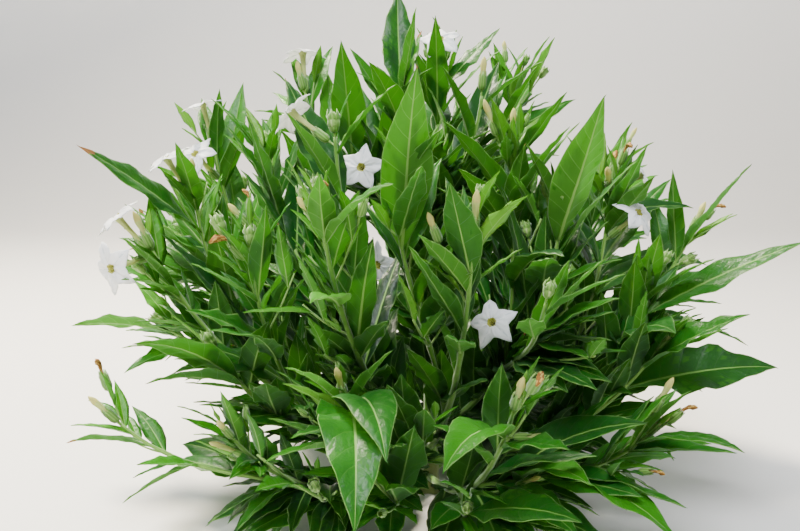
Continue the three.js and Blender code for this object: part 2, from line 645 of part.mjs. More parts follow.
// Turned forms of a bloom, from its stalk's foot at the origin along +Y: radius, then height.
const PROFILES = {
  open: [[THROAT_RADIUS, PEDICEL + FLOWER_LENGTH - LIMB_DEPTH],
    [FLOWER_RADIUS, PEDICEL + FLOWER_LENGTH], [0, PEDICEL + FLOWER_LENGTH - THROAT_DEPTH]],
  bud: [[CALYX_RADIUS, PEDICEL + CALYX_LENGTH / 2], [0, PEDICEL + BUD_LENGTH]],
  withered: [[CAPSULE_RADIUS, PEDICEL + CAPSULE_LENGTH / 2],
    [STALK_RADIUS, PEDICEL + CAPSULE_LENGTH], [0, PEDICEL + CAPSULE_LENGTH + WITHERED_LENGTH]],
  capsule: [[CAPSULE_RADIUS, PEDICEL + CAPSULE_LENGTH / 2], [0, PEDICEL + CAPSULE_LENGTH]],
};

function bloomSolid({ root, along, stage }) {
  const sides = stage === "open" ? 2 * FLOWER_LOBES : FRUIT_SIDES;
  const profile = [[0, 0], ...PROFILES[stage]].map(([r, h]) => new THREE.Vector2(r, h));
  const turned = new THREE.LatheGeometry(profile, sides);
  const place = turned.attributes.position;
  const upright = new THREE.Quaternion().setFromUnitVectors(new THREE.Vector3(0, 1, 0), along);
  const v = new THREE.Vector3();
  for (let i = 0; i < place.count; i++) {
    v.fromBufferAttribute(place, i);
    const side = Math.floor(i / profile.length);
    const notch = stage === "open" && side % 2 === 1 && Math.hypot(v.x, v.z) > THROAT_RADIUS + 1;
    if (notch) v.multiply(new THREE.Vector3(NOTCH_SHARE, 1, NOTCH_SHARE));
    v.applyQuaternion(upright).add(root);
    place.setXYZ(i, v.x, v.y, v.z);
  }
  return solidOf(turned);
}

function mainStem(grown = 0) {
  const stem = new THREE.CylinderGeometry(1, 1, STEM_HEIGHT, STEM_SIDES, STEM_ROWS);
  const place = stem.attributes.position;
  const v = new THREE.Vector3();
  for (let i = 0; i < place.count; i++) {
    v.fromBufferAttribute(place, i);
    const z = v.y + STEM_HEIGHT / 2;
    const azimuth = THREE.MathUtils.radToDeg(Math.atan2(-v.z, v.x));
    const radius = Math.hypot(v.x, v.z) > 1e-6 ? stemRadius(z, azimuth) + grown : 0;
    place.setXYZ(i, radius * Math.cos(radians(azimuth)), radius * Math.sin(radians(azimuth)), z);
  }
  return solidOf(stem);
}

function foliageSolid(mass, grown) {
  const pieces = mass.leaders.map((leader, k) => {
    const gap = k === 0 ? JOIN_GAP / leader.curve.getLength() : 0;
    return twigSolid(leader.curve, leader.from + gap, leader.radius, TIP_RADIUS, STEM_SPANS);
  });
  for (const twig of grown.twigs) {
    pieces.push(twigSolid(twig.curve, 0, TWIG_RADIUS, TWIG_TIP_RADIUS, TWIG_SPANS));
  }
  for (const leaf of grown.leaves) pieces.push(leafSolid(leaf));
  for (const bloom of grown.blooms) pieces.push(bloomSolid(bloom));
  return wasm.Manifold.union(pieces);
}

const plant = new THREE.Group();
plant.add(meshOf("main_stem", mainStem(), STEM_GREEN, 0.8));
// A bough starts inside the stem and is cut a join gap off its side.
const stemRoom = mainStem(JOIN_GAP);
const masses = growBoughs();
for (const mass of masses) {
  const curve = mass.leaders[0].curve;
  const limb = limbSolid(curve, 0, LEAFY_FROM, BOUGH_RADIUS, LEAFY_RADIUS, BOUGH_SIDES, BOUGH_SPANS);
  const bough = limb.subtract(stemRoom);
  plant.add(meshOf("bough_" + mass.name, bough, STEM_GREEN, 0.7));
  const grown = growMass(mass, masses);
  plant.add(meshOf("foliage_" + mass.name, foliageSolid(mass, grown), LEAF_GREEN, 0.55));
}

export default plant;
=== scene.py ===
# %% [markdown]
# # A bushy tobacco plant in flower
#
# The plant is one clump from one root. A short main stem forks just above the ground into bare
# boughs, and every bough turns into a leafy stem that divides into flowering leaders.
# The CAD model holds this plant with few, thick leaves. Here it is dressed: the same rule of growth
# runs again with the same seeds, and then goes on to smaller leaves, side twigs, buds and fruit.
# The work is in metres at the end, but the growth is worked out in millimetres, as the CAD is.

import math

import bpy
import numpy as np
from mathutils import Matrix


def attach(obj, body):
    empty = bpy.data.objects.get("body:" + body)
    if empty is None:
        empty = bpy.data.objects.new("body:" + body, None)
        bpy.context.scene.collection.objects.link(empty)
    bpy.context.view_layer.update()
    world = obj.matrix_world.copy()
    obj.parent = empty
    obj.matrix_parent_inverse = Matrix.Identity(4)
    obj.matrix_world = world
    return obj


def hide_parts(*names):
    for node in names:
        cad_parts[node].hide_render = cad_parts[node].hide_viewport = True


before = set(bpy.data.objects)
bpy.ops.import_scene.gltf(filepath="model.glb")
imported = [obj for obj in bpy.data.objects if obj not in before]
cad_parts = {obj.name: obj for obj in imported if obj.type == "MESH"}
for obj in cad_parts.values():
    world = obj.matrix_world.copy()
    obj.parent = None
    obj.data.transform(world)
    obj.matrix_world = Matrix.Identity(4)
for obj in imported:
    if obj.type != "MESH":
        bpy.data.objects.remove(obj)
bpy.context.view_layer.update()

# %% [markdown]
# ## The plan of the plant
#
# Each bough has a foot on the main stem and one or more leaders, which are known by where their tips
# stand: which way from the stem, how far out and how high. Leaves, flowers and fruit that show well
# have rows of their own. A stem could be drawn by hand as a curve, but a plan of real sizes keeps
# the dressed plant and the CAD model the same plant.

# %% The plan in millimetres and degrees
STEM_HEIGHT = 84
STEM_RADII = (13, 9.5)
FLARE_WIDTH = 6
FLARE_HEIGHT = 16
FLARE_LOBES = 5
FLARE_HOLLOW = 0.3
BOUGH_RADIUS = 4.2
LEAFY_RADIUS = 3.3
TIP_RADIUS = 1.5
SIDE_RADIUS = 2.5
LEAFY_FROM = 0.27
FORK_AT = 0.36
FORK_STEP = 0.07
LEAVE_LOWER = 20
ARRIVE_STEEPER = 26
HANDLE = 0.36
JOIN_GAP = 0.3
BOUGH_SUNK = 5
CURVE_POINTS = 14
LEAST_RISE = 8
MOST_RISE = 86

# A row is a bough's name, how high its foot is, and its leaders. A leader is (azimuth, reach and height
# of its tip, heading of its first leaf, longest leaf, blooms, shown leaves). A bloom is [share of the
# leader, heading, rise, stage]; a shown leaf is [share, heading, rise, length, width, droop, roll].
PLAN = [
    ("left_low", 17, [
        (231, 270, 138, 190, 120, [[0.9, 215, 30, "bud"]],
         [[0.96, 250, 65, 72, 18, 5, 0], [0.62, 225, 15, 115, 26, 45, 20]]),
        (204, 318, 121, 100, 105, [],
         [[0.86, 165, 5, 95, 18, 25, 30], [0.4, 145, 15, 115, 42, 30, -30]]),
        (243, 222, 84, 250, 110),
    ]),
    ("front_low", 33, [
        (255, 279, 194, 265, 160, [],
         [[0.94, 275, 25, 165, 52, 105, 0], [0.96, 235, 45, 90, 22, 25, 0],
          [0.96, 285, 35, 140, 42, 90, 0]]),
        (262, 232, 92, 200, 120, [],
         [[0.9, 265, 40, 125, 40, 30, -20], [0.75, 282, 58, 118, 38, 12, 0]]),
        (268, 215, 150, 0, 135, [],
         [[0.5, 265, 62, 116, 36, 8, 0], [0.75, 245, 55, 100, 30, 12, 0]]),
    ]),
    ("front_right_low", 17, [
        (281, 290, 190, 335, 160, [[0.9, 330, 12, "bud"]],
         [[0.82, 265, 65, 100, 26, 4, 0], [0.9, 242, 30, 120, 40, 66, 0]]),
        (276, 236, 84, 250, 130, [],
         [[0.48, 320, 65, 70, 18, 5, 0], [0.9, 310, 30, 130, 40, 35, 20], [0.2, 280, 58, 102, 34, 10, 0]]),
        (315, 258, 128, 20, 150, [],
         [[0.22, 325, 45, 165, 42, 35, 30], [0.96, 300, 30, 120, 30, 40, 0]]),
    ]),
    ("left_front", 40, [
        (222, 256, 205, 170, 150, [],
         [[0.88, 235, 40, 130, 30, 35, 40], [0.86, 230, 25, 105, 26, 30, 30]]),
        (231, 245, 297, 120, 120, [[0.95, 200, 50, "withered"]],
         [[0.84, 295, 70, 90, 20, 5, 0]]),
    ]),
    ("left", 50, [
        (207, 284, 286, 150, 140, [[0.98, 190, 50, "open"], [0.99, 240, -5, "open"]]),
        (197, 237, 330, 172, 160, [[0.97, 200, 60, "open"]],
         [[0.86, 225, 40, 150, 34, 10, -45], [0.36, 215, 55, 152, 40, 8, -30],
          [0.16, 220, 35, 150, 36, 30, 40]]),
    ]),
    ("left_rear", 33, [
        (170, 233, 375, 90, 150, [[0.98, 160, 75, "open"], [0.9, 240, 40, "open"]],
         [[0.76, 110, 55, 120, 28, 5, 20], [0.88, 75, 65, 130, 32, 5, 0], [0.96, 320, 85, 75, 20, 5, 0]]),
        (172, 290, 170, 200, 150, [],
         [[0.96, 170, 10, 125, 32, 25, 40]]),
        (160, 300, 265, 150, 140),
    ]),
    ("front_left", 62, [
        (250, 265, 334, 300, 140, [[0.97, 215, 50, "bud"]],
         [[0.94, 270, 50, 78, 22, 5, 0], [0.94, 305, 40, 110, 20, 30, 30], [0.56, 65, 55, 130, 24, 15, 0],
          [0.62, 280, 55, 150, 24, 12, 0]]),
        (237, 160, 388, 255, 155, [[0.97, 160, 35, "open"]],
         [[0.78, 125, 50, 150, 42, 5, 0]]),
        (205, 172, 370, 60, 150, [],
         [[0.74, 250, 60, 120, 26, 5, -30]]),
    ]),
    ("front_middle", 50, [
        (276, 251, 315, 100, 140, [],
         [[0.92, 245, 60, 90, 30, 5, 0], [0.76, 230, 50, 110, 22, 5, 0], [0.3, 315, 30, 70, 18, 25, 0],
          [0.3, 266, 58, 118, 34, 8, 0]]),
        (260, 208, 362, 330, 160, [],
         [[0.76, 280, 70, 158, 42, 4, 0], [0.1, 245, 45, 110, 28, 12, 0]]),
    ]),
    ("front_right", 62, [
        (307, 188, 330, 60, 170, [],
         [[0.64, 210, 80, 135, 24, 15, 0], [0.9, 280, 55, 160, 38, 5, 0]]),
        (290, 250, 262, 20, 150, [],
         [[0.78, 295, 60, 85, 24, 5, 0]]),
        (304, 128, 375, 10, 150, [[0.16, 243, 32, "open"]],
         [[0.22, 295, 50, 105, 24, 12, 20], [0.74, 290, 45, 130, 28, 15, 30]]),
    ]),
    ("right_low", 33, [
        (328, 244, 195, 10, 150, [[0.97, 335, 52, "bud"]],
         [[0.32, 355, 70, 92, 26, 6, 0], [0.82, 5, 15, 155, 52, 25, 40], [0.92, 310, 40, 125, 30, 15, 35]]),
        (335, 225, 245, 345, 165, [],
         [[0.86, 335, 35, 165, 34, 12, 35], [0.72, 280, 40, 110, 44, 55, 20]]),
    ]),
    ("right", 50, [
        (358, 270, 283, 40, 140, [[0.9, 330, 30, "capsule"]],
         [[0.34, 285, 60, 118, 26, 4, 0], [0.92, 225, 80, 98, 20, 4, 0], [0.96, 295, 50, 125, 26, 6, 30]]),
        (350, 184, 335, 330, 140, [[0.77, 310, 40, "open"], [0.97, 250, 40, "bud"]],
         [[0.52, 25, 25, 160, 42, 50, 30], [0.84, 290, 55, 105, 30, 6, 20], [0.66, 30, 50, 130, 28, 25, 20],
          [0.88, 5, 15, 90, 20, 30, 30]]),
    ]),
    ("top", 84, [
        (225, 42, 440, 280, 150, [[0.5, 220, -5, "open"]],
         [[0.96, 95, 65, 120, 34, 4, 0], [0.96, 330, 80, 85, 20, 4, 0]]),
        (75, 54, 450, 0, 140, [[0.97, 265, 50, "open"]],
         [[0.78, 265, 60, 125, 24, 4, 0], [0.92, 25, 45, 100, 24, 5, 20]]),
        (318, 66, 424, 10, 150, [],
         [[0.7, 60, 55, 120, 26, 8, 20]]),
        (36, 118, 430, 320, 140, [[0.95, 60, 60, "bud"]],
         [[0.66, 25, 30, 125, 28, 15, 30], [0.82, 295, 45, 90, 18, 5, 20]]),
        (167, 133, 425, 200, 140, [[0.37, 258, 18, "open"], [0.97, 110, 75, "open"]],
         [[0.52, 265, 60, 140, 34, 5, 0], [0.96, 120, 55, 70, 16, 5, 0]]),
    ]),
    ("rear_right", 62, [
        (28, 237, 340, 30, 150, [[0.93, 350, 25, "open"]]),
        (22, 300, 200, 0, 150),
        (48, 262, 262, 90, 150, [[0.95, 60, 30, "open"]]),
    ]),
    ("rear_middle", 50, [
        (88, 240, 322, 80, 150, [[0.95, 100, 20, "open"]],
         [[0.3, 90, 45, 150, 50, 10, 0]]),
        (66, 230, 345, 50, 150),
        (92, 296, 165, 10, 150),
    ]),
    ("rear_left", 62, [
        (125, 244, 330, 120, 150, [[0.95, 150, 35, "open"]]),
        (146, 278, 290, 160, 150, [[0.9, 140, 10, "open"]]),
        (124, 300, 185, 100, 150),
    ]),
    ("rear_low", 17, [
        (55, 282, 130, 20, 140),
        (74, 262, 105, 100, 130),
        (36, 290, 112, 0, 130),
    ]),
]
LEADER_WORDS = ("azimuth", "reach", "height", "first", "longest", "blooms", "shown")
NO_MORE = ([], [])
BOUGHS = [
    {"name": name, "foot": foot, "leaders": [dict(zip(LEADER_WORDS, row + NO_MORE)) for row in rows]}
    for name, foot, rows in PLAN
]
print("boughs:", len(BOUGHS), "leaders:", sum(len(row["leaders"]) for row in BOUGHS))

# %% [markdown]
# ## Chance, directions and limbs
#
# Chance comes from a small seeded generator, so that the plant is the same each time and the same as
# in the CAD model. A limb is a cubic curve that leaves lower than the straight line to its tip and
# arrives steeper, as shoots do that grow out first and then towards the light.

# %% Chance, directions and limbs
WORD = 0xFFFFFFFF
WORD_VALUES = 4294967296
SEED_STRIDE = 0x6D2B79F5
TANGENT_STEP = 1e-4
LENGTH_STEPS = 200


def dice(seed):
    state = seed & WORD

    def roll():
        nonlocal state
        state = (state + SEED_STRIDE) & WORD
        t = ((state ^ (state >> 15)) * (state | 1)) & WORD
        t ^= (t + (((t ^ (t >> 7)) * (t | 61)) & WORD)) & WORD
        return ((t ^ (t >> 14)) & WORD) / WORD_VALUES

    return roll


def thrown(throw, least, spread):
    return least + spread * throw


def mix(a, b, t):
    return a + (b - a) * t


def direction(azimuth, elevation):
    a, e = np.radians(azimuth), np.radians(elevation)
    return np.stack([np.cos(e) * np.cos(a), np.cos(e) * np.sin(a), np.sin(e) + 0 * a], -1)


def unit(v):
    return v / np.linalg.norm(v, axis=-1, keepdims=True)


class Limb:
    """A curve by its control points: two ends and one or two handles."""

    def __init__(self, *controls):
        self.controls = np.array(controls, float)

    def point(self, t):
        places = self.controls
        while len(places) > 1:
            places = places[:-1] + (places[1:] - places[:-1]) * t
        return places[0]

    def points(self, shares):
        return np.array([self.point(t) for t in shares])

    def tangent(self, t):
        return unit(self.point(min(t + TANGENT_STEP, 1)) - self.point(max(t - TANGENT_STEP, 0)))

    def length(self):
        places = self.points(np.arange(LENGTH_STEPS + 1) / LENGTH_STEPS)
        return np.linalg.norm(np.diff(places, axis=0), axis=1).sum()


def limb_between(start, tip, leaving=None):
    chord = tip - start
    span = np.linalg.norm(chord)
    azimuth = math.degrees(math.atan2(chord[1], chord[0]))
    rise = math.degrees(math.asin(chord[2] / span))
    out = direction(azimuth, max(rise - LEAVE_LOWER, LEAST_RISE)) if leaving is None else leaving
    up = direction(azimuth, min(rise + ARRIVE_STEEPER, MOST_RISE))
    return Limb(start, start + out * HANDLE * span, tip - up * HANDLE * span, tip)


def stem_radius(z, azimuth=0.0):
    flare = np.maximum(1 - z / FLARE_HEIGHT, 0) ** 2
    lobes = 1 - FLARE_HOLLOW * (1 - np.cos(FLARE_LOBES * np.radians(azimuth)))
    return mix(*STEM_RADII, z / STEM_HEIGHT) + FLARE_WIDTH * flare * lobes


# %% [markdown]
# ## Growing the boughs
#
# The CAD model draws each leafy stem through a few points, and its leaves stand on that line. The
# same line is kept here, because whether a leaf has room depends on where it starts.

# %% Grow the boughs
STEM_SPANS = 4
FIRST_SEED = 101
BOUGH_SEED = 17


def stem_line(curve, start):
    return [curve.point(mix(start, 1, k / STEM_SPANS)) for k in range(STEM_SPANS + 1)]


def on_stem(leader, at):
    place = STEM_SPANS * (at - leader["from"]) / (1 - leader["from"])
    span = min(int(place), STEM_SPANS - 1)
    return mix(leader["line"][span], leader["line"][span + 1], place - span)


def tip_of(row):
    return direction(row["azimuth"], 0) * row["reach"] + [0, 0, row["height"]]


def grow_bough(index, row):
    main = row["leaders"][0]
    on_top = row["foot"] >= STEM_HEIGHT
    out = 0 if on_top else stem_radius(row["foot"]) - BOUGH_SUNK
    foot = direction(main["azimuth"], 0) * out
    foot[2] = STEM_HEIGHT + JOIN_GAP if on_top else row["foot"]
    curve = limb_between(foot, tip_of(main), direction(0, 90) if on_top else None)
    first = {**main, "curve": curve, "from": LEAFY_FROM, "radius": LEAFY_RADIUS}
    first["line"] = stem_line(curve, LEAFY_FROM)
    first["seat"] = np.zeros(3)
    leaders = [first]
    for k, side in enumerate(row["leaders"][1:]):
        fork_at = FORK_AT + FORK_STEP * k
        fork = on_stem(first, fork_at)
        leaving = unit(curve.tangent(fork_at) + unit(tip_of(side) - fork))
        own = limb_between(fork, tip_of(side), leaving)
        leader = {**side, "curve": own, "from": 0, "radius": SIDE_RADIUS, "line": stem_line(own, 0)}
        leader["seat"] = curve.point(fork_at) - fork
        leaders.append(leader)
    lines = [x["curve"].points(np.arange(CURVE_POINTS + 1) / CURVE_POINTS) for x in leaders]
    return {"name": row["name"], "seed": FIRST_SEED + BOUGH_SEED * index, "leaders": leaders, "lines": lines}


masses = [grow_bough(k, row) for k, row in enumerate(BOUGHS)]
print("longest bough:", round(max(m["leaders"][0]["curve"].length() for m in masses)), "mm")

# %% [markdown]
# ## Room
#
# A point belongs to the mass whose limbs are nearest. A leaf may grow where all of it stays in its
# own mass's space, off the ground and off the main stem, and where its midrib keeps off its
# neighbours. That is how the crown fills evenly. Only midribs are kept apart, so blades can cross.

# %% Room for a point and for a leaf
ROOM_BETWEEN = 5
ROOM_TO_LIMB = 2.5
ROOM_TO_GROUND = 4
ROOM_TO_LEAF = 0.085
ROOM_TO_BLOOM = 4
FINE_NEARER = 3.4
CLEAR_OF_STEM = 0.2
RIB_FROM = 0.3
KEEL = 6
MIDRIB_STEPS = 12
ROLL_RATE = 3
DROOP_CURVE = 1.5
WIDEST_AT = 0.38
OUTLINE_POWER = 0.95

segments = [(a, b, k) for k, m in enumerate(masses) for line in m["lines"] for a, b in zip(line, line[1:])]
SEGMENT_FROM = np.array([a for a, _, _ in segments])
SEGMENT_RUN = np.array([b - a for a, b, _ in segments])
SEGMENT_LONG = (SEGMENT_RUN**2).sum(1)
FIRST_SEGMENT = [next(i for i, s in enumerate(segments) if s[2] == k) for k in range(len(masses))]
for k, mass in enumerate(masses):
    mass["index"] = k


def keeps_to_space(points, own, margin=0.0):
    points = np.atleast_2d(points)
    if (points[:, 2] < ROOM_TO_GROUND + margin).any():
        return False
    low = points[:, 2] < STEM_HEIGHT + BOUGH_RADIUS
    near = np.hypot(points[:, 0], points[:, 1]) < stem_radius(points[:, 2]) + ROOM_TO_LIMB + BOUGH_RADIUS
    if (low & near).any():
        return False
    gone = points[:, None] - SEGMENT_FROM
    t = np.clip((gone * SEGMENT_RUN).sum(2) / SEGMENT_LONG, 0, 1)
    off = np.linalg.norm(gone - SEGMENT_RUN * t[..., None], axis=2)
    nearest = np.minimum.reduceat(off, FIRST_SEGMENT, axis=1)
    mine = nearest[:, own["index"]].copy()
    nearest[:, own["index"]] = np.inf
    return bool((nearest.min(1) > mine + ROOM_BETWEEN + margin).all())


def outline(s):
    fall = OUTLINE_POWER * (1 - WIDEST_AT) / WIDEST_AT
    s = np.clip(s, 0, 1)
    return (s / WIDEST_AT) ** OUTLINE_POWER * ((1 - s) / (1 - WIDEST_AT)) ** fall


def ways(leaf, s):
    """At shares s of a leaf: the way it runs, its upper side and its left side."""
    azimuth = leaf["azimuth"] + leaf["sway"] * s
    rise = leaf["rise"] - leaf["droop"] * s**DROOP_CURVE
    along, up = direction(azimuth, rise), direction(azimuth, rise + 90)
    turn = np.radians(leaf["roll"] * np.minimum(ROLL_RATE * s, 1))[..., None]
    up = up * np.cos(turn) + np.cross(along, up) * np.sin(turn)
    return along, up, np.cross(up, along)


STEPS = np.arange(MIDRIB_STEPS + 1) / MIDRIB_STEPS


def midrib(leaf):
    along, up, left = ways(leaf, STEPS)
    gone = np.vstack([np.zeros(3), np.cumsum(along[:-1] * leaf["length"] / MIDRIB_STEPS, axis=0)])
    return leaf["root"] + gone, up, left


def leaf_fits(leaf, mass, room):
    places, up, left = midrib(leaf)
    ribs = places[STEPS > RIB_FROM]
    if mass["taken"]:
        taken = np.array(mass["taken"])
        apart = np.linalg.norm(ribs[:, None] - taken, axis=2).min()
        if apart < room * leaf["length"]:
            return False
    half = leaf["width"] / 2 * outline(STEPS)[:, None]
    over = places + up * half * math.sin(math.radians(KEEL))
    side = left * half * math.cos(math.radians(KEEL))
    lines = [places, over + side, over - side]
    if room < ROOM_TO_LEAF and not stands_clear(np.vstack(lines)):
        return False
    off_stem = STEPS > CLEAR_OF_STEM
    margin = 0 if room == ROOM_TO_LEAF else -FINE_NEARER
    if not keeps_to_space(np.vstack([line[off_stem] for line in lines]), mass, margin):
        return False
    mass["taken"].extend(ribs)
    return True


# %% [markdown]
# ## The rule of growth
#
# Leaves stand in a spiral, each turned by the golden angle from the last. Low down they open widely
# and droop, and near the tip they are shorter, narrower and steeper. A leaf with no room is tried
# turned, steeper and shorter before it is left out.

# %% The rule of growth, as the CAD model has it
# A pair is a value low on the stem and at its tip or, where it is thrown for, the least value and
# what a throw adds to it.
INTERNODE = 35
GOLDEN_ANGLE = 137.5
ASPECT = (0.31, 0.24)
TIP_LEAF_SHARE = 0.5
OPENING = (62, 32)
DROOP = (58, 14)
SUN_SEEKING = 0.14
TURNS = [0, 32, -32, 16, -16, 0]
EASIER_OPENING = 0.1
EASIER_LENGTH = 0.08
EASIER_DROOP = 0.15
SHOWN_EASIER = 0.06
OPENING_SPREAD = 18
DROOP_THROWN = (0.35, 1.1)
SWAY_SPREAD = 24
LEAN_SPREAD = 50
SIZE_SPREAD = 0.2
ASPECT_SPREAD = 0.16
FULL_LENGTH_AT = 0.3
LOWEST_LEAF_SHARE = 0.82
FIRST_NODE = 0.6
TWIG_NODE = 2
TWIG_LENGTH = 74
TWIG_LIFT = 0.12
TWIG_RADII = (1.5, 1.1)
TWIG_LEAVES = 2
TWIG_LEAF = 66
TWIG_LEAF_STEP = 0.15
TWIG_LEAF_INSET = 0.06
TWIG_LEAF_AGE = 0.9
TWIG_LEAF_TURN = 80
TWIG_BESIDE = 12
TWIG_OPENING = 36
TWIG_SPREAD = 12
TWIG_LENGTH_SPREAD = 0.5
LEADER_SEED = 1000
SEED_STEP = 31
LEAF_SEED = 7
TWIG_SEED = 13
PEDICEL = 8
FLOWER_LENGTH = 44
FLOWER_RADIUS = 21.5
CALYX_RADIUS = 4.4
BUD_LENGTH = 40
CAPSULE_RADIUS = 6.6
CAPSULE_LENGTH = 20
WITHERED_LENGTH = 20
END_BLOOM_AT = 0.985
SEAT_FADES_BY = 0.3
LIMB_SHARES = (0.5, 0.75, 1)
# Each stage of a bloom: up to which throw it comes, how far it reaches and how wide it is.
STAGES = {
    "bud": (0.42, BUD_LENGTH, CALYX_RADIUS),
    "capsule": (0.72, CAPSULE_LENGTH, CAPSULE_RADIUS),
    "withered": (0.9, WITHERED_LENGTH, CAPSULE_RADIUS),
    "open": (1, FLOWER_LENGTH, FLOWER_RADIUS),
}


def stage_of(chance, stages=STAGES):
    return next(name for name, (until, _, _) in stages.items() if chance < until)


def leaving_stem(tangent, heading, angle):
    flat = direction(heading, 0)
    side = unit(flat - tangent * flat.dot(tangent))
    out = tangent * math.cos(math.radians(angle)) + side * math.sin(math.radians(angle))
    return unit(out + [0, 0, SUN_SEEKING])


def heading_of(v):
    return math.degrees(math.atan2(v[1], v[0]))


def rise_of(v):
    return math.degrees(math.asin(max(-1, min(1, v[2]))))


def grow_leaf(stem_at, tangent, heading, length, age, roll, mass, room=ROOM_TO_LEAF):
    opening = mix(*OPENING, age) + OPENING_SPREAD * (roll() - 0.5)
    droop = mix(*DROOP, age) * thrown(roll(), *DROOP_THROWN)
    sway = SWAY_SPREAD * (roll() - 0.5)
    lean = LEAN_SPREAD * (roll() - 0.5)
    size = length * (1 + SIZE_SPREAD * (roll() - 0.5))
    aspect = mix(*ASPECT, age) * (1 + ASPECT_SPREAD * (roll() - 0.5))
    root, seat = stem_at
    for k, turn in enumerate(TURNS):
        out = leaving_stem(tangent, heading + turn, opening * (1 - EASIER_OPENING * k))
        own = size * (1 - EASIER_LENGTH * k)
        leaf = {"root": root, "seat": seat, "length": own, "width": own * aspect, "age": age}
        leaf |= {"azimuth": heading_of(out), "rise": rise_of(out), "sway": sway, "roll": lean}
        leaf["droop"] = droop * (1 - EASIER_DROOP * k)
        if leaf_fits(leaf, mass, room):
            return leaf
    return None


def set_leaf(leader, row, mass):
    at, azimuth, rise, length, width, droop, roll = row
    root, seat = stem_place(leader, at)
    for k in range(len(TURNS)):
        share = 1 - SHOWN_EASIER * k
        leaf = {"root": root, "seat": seat, "age": at, "azimuth": azimuth, "rise": rise, "sway": 0}
        leaf |= {"length": length * share, "width": width * share, "droop": droop, "roll": roll}
        leaf["shown"] = True
        if leaf_fits(leaf, mass, ROOM_TO_LEAF):
            return leaf
    return None


def seat_fade(at):
    return max(0, 1 - at / SEAT_FADES_BY) ** 2


def stem_place(leader, at):
    """A place on the CAD model's straight-sided stem, and the way from it to the smooth one drawn here."""
    place = on_stem(leader, at)
    return place, leader["curve"].point(at) + leader["seat"] * seat_fade(at) - place


def grow_bloom(root, seat, along, stage, mass):
    _, reach, radius = STAGES[stage]
    face = root + along * (PEDICEL + reach)
    side = unit(np.array([-along[1], along[0], 0.0]))
    top = np.cross(along, side)
    rim = [face + v * r for v in (side, top) for r in (radius, -radius)]
    if not keeps_to_space(np.array([face, *rim]), mass):
        return None
    if mass["taken"]:
        apart = np.linalg.norm(np.array(mass["taken"]) - face, axis=1).min()
        if apart < radius + ROOM_TO_BLOOM:
            return None
    mass["taken"] += [face, face - along * reach / 2]
    return {"root": root + seat, "along": along, "stage": stage}


def length_share(u):
    if u < FULL_LENGTH_AT:
        return mix(LOWEST_LEAF_SHARE, 1, u / FULL_LENGTH_AT)
    return mix(1, TIP_LEAF_SHARE, (u - FULL_LENGTH_AT) / (1 - FULL_LENGTH_AT))


def keep(mass, kind, made):
    if made:
        mass["grown"][kind].append(made)


def grow_twig(foot, seat, tangent_there, heading, roll, mass):
    length = TWIG_LENGTH * (1 + TWIG_LENGTH_SPREAD * (roll() - 0.5))
    out = leaving_stem(tangent_there, heading, TWIG_OPENING + TWIG_SPREAD * (roll() - 0.5))
    tip = foot + out * length + [0, 0, TWIG_LIFT * length]
    curve = Limb(foot, foot + out * length / 2, tip)
    if not keeps_to_space(curve.points(LIMB_SHARES), mass, TWIG_RADII[0]):
        return
    keep(mass, "twigs", {"curve": curve, "seat": seat, "radii": TWIG_RADII})
    for i in range(TWIG_LEAVES):
        at = (i + 1) / TWIG_LEAVES - TWIG_LEAF_INSET
        size = TWIG_LEAF * (1 - TWIG_LEAF_STEP * i)
        turned = heading + TWIG_LEAF_TURN + GOLDEN_ANGLE * i
        stem_at = (curve.point(at), seat * (1 - at))
        keep(mass, "leaves", grow_leaf(stem_at, curve.tangent(at), turned, size, TWIG_LEAF_AGE, roll, mass))


def grow_mass(mass):
    mass["taken"] = []
    mass["grown"] = {"leaves": [], "twigs": [], "blooms": []}
    for leader in mass["leaders"]:
        for at, azimuth, rise, stage in leader["blooms"]:
            keep(mass, "blooms", grow_bloom(*stem_place(leader, at), direction(azimuth, rise), stage, mass))
    for leader in mass["leaders"]:
        for row in leader["shown"]:
            keep(mass, "leaves", set_leaf(leader, row, mass))
    for k, leader in enumerate(mass["leaders"]):
        seed = mass["seed"] + LEADER_SEED * k
        roll = dice(seed)
        curve = leader["curve"]
        end = on_stem(leader, END_BLOOM_AT)
        keep(mass, "blooms", grow_bloom(end, 0.0, curve.tangent(1), stage_of(roll()), mass))
        count = math.floor(curve.length() * (1 - leader["from"]) / INTERNODE + 0.5)
        for i in range(count):
            u = (i + FIRST_NODE) / count
            at = mix(leader["from"], 1, u)
            stem_at, tangent = stem_place(leader, at), curve.tangent(at)
            heading = leader["first"] + GOLDEN_ANGLE * i
            length = leader["longest"] * length_share(u)
            own = seed + SEED_STEP * i
            leaf = grow_leaf(stem_at, tangent, heading, length, u, dice(own + LEAF_SEED), mass)
            keep(mass, "leaves", leaf)
            if i == TWIG_NODE:
                grow_twig(*stem_at, tangent, heading + TWIG_BESIDE, dice(own + TWIG_SEED), mass)


def counts():
    return {kind: sum(len(m["grown"][kind]) for m in masses) for kind in ("leaves", "twigs", "blooms")}


for mass in masses:
    grow_mass(mass)
print("as in the CAD model:", counts())

# %% [markdown]
# ## Finer growth
#
# A living plant has far more leaves than the CAD model: smaller ones between the big ones, young ones
# in the axils, and side twigs that end in buds, flowers and capsules. They grow by the same rule, in
# the room that is left, so the crown gets denser without getting any larger.

# %% Grow on to the finer leaves, twigs and blooms
FINE_ROOM = 0.055
FINE_SEED = 5000
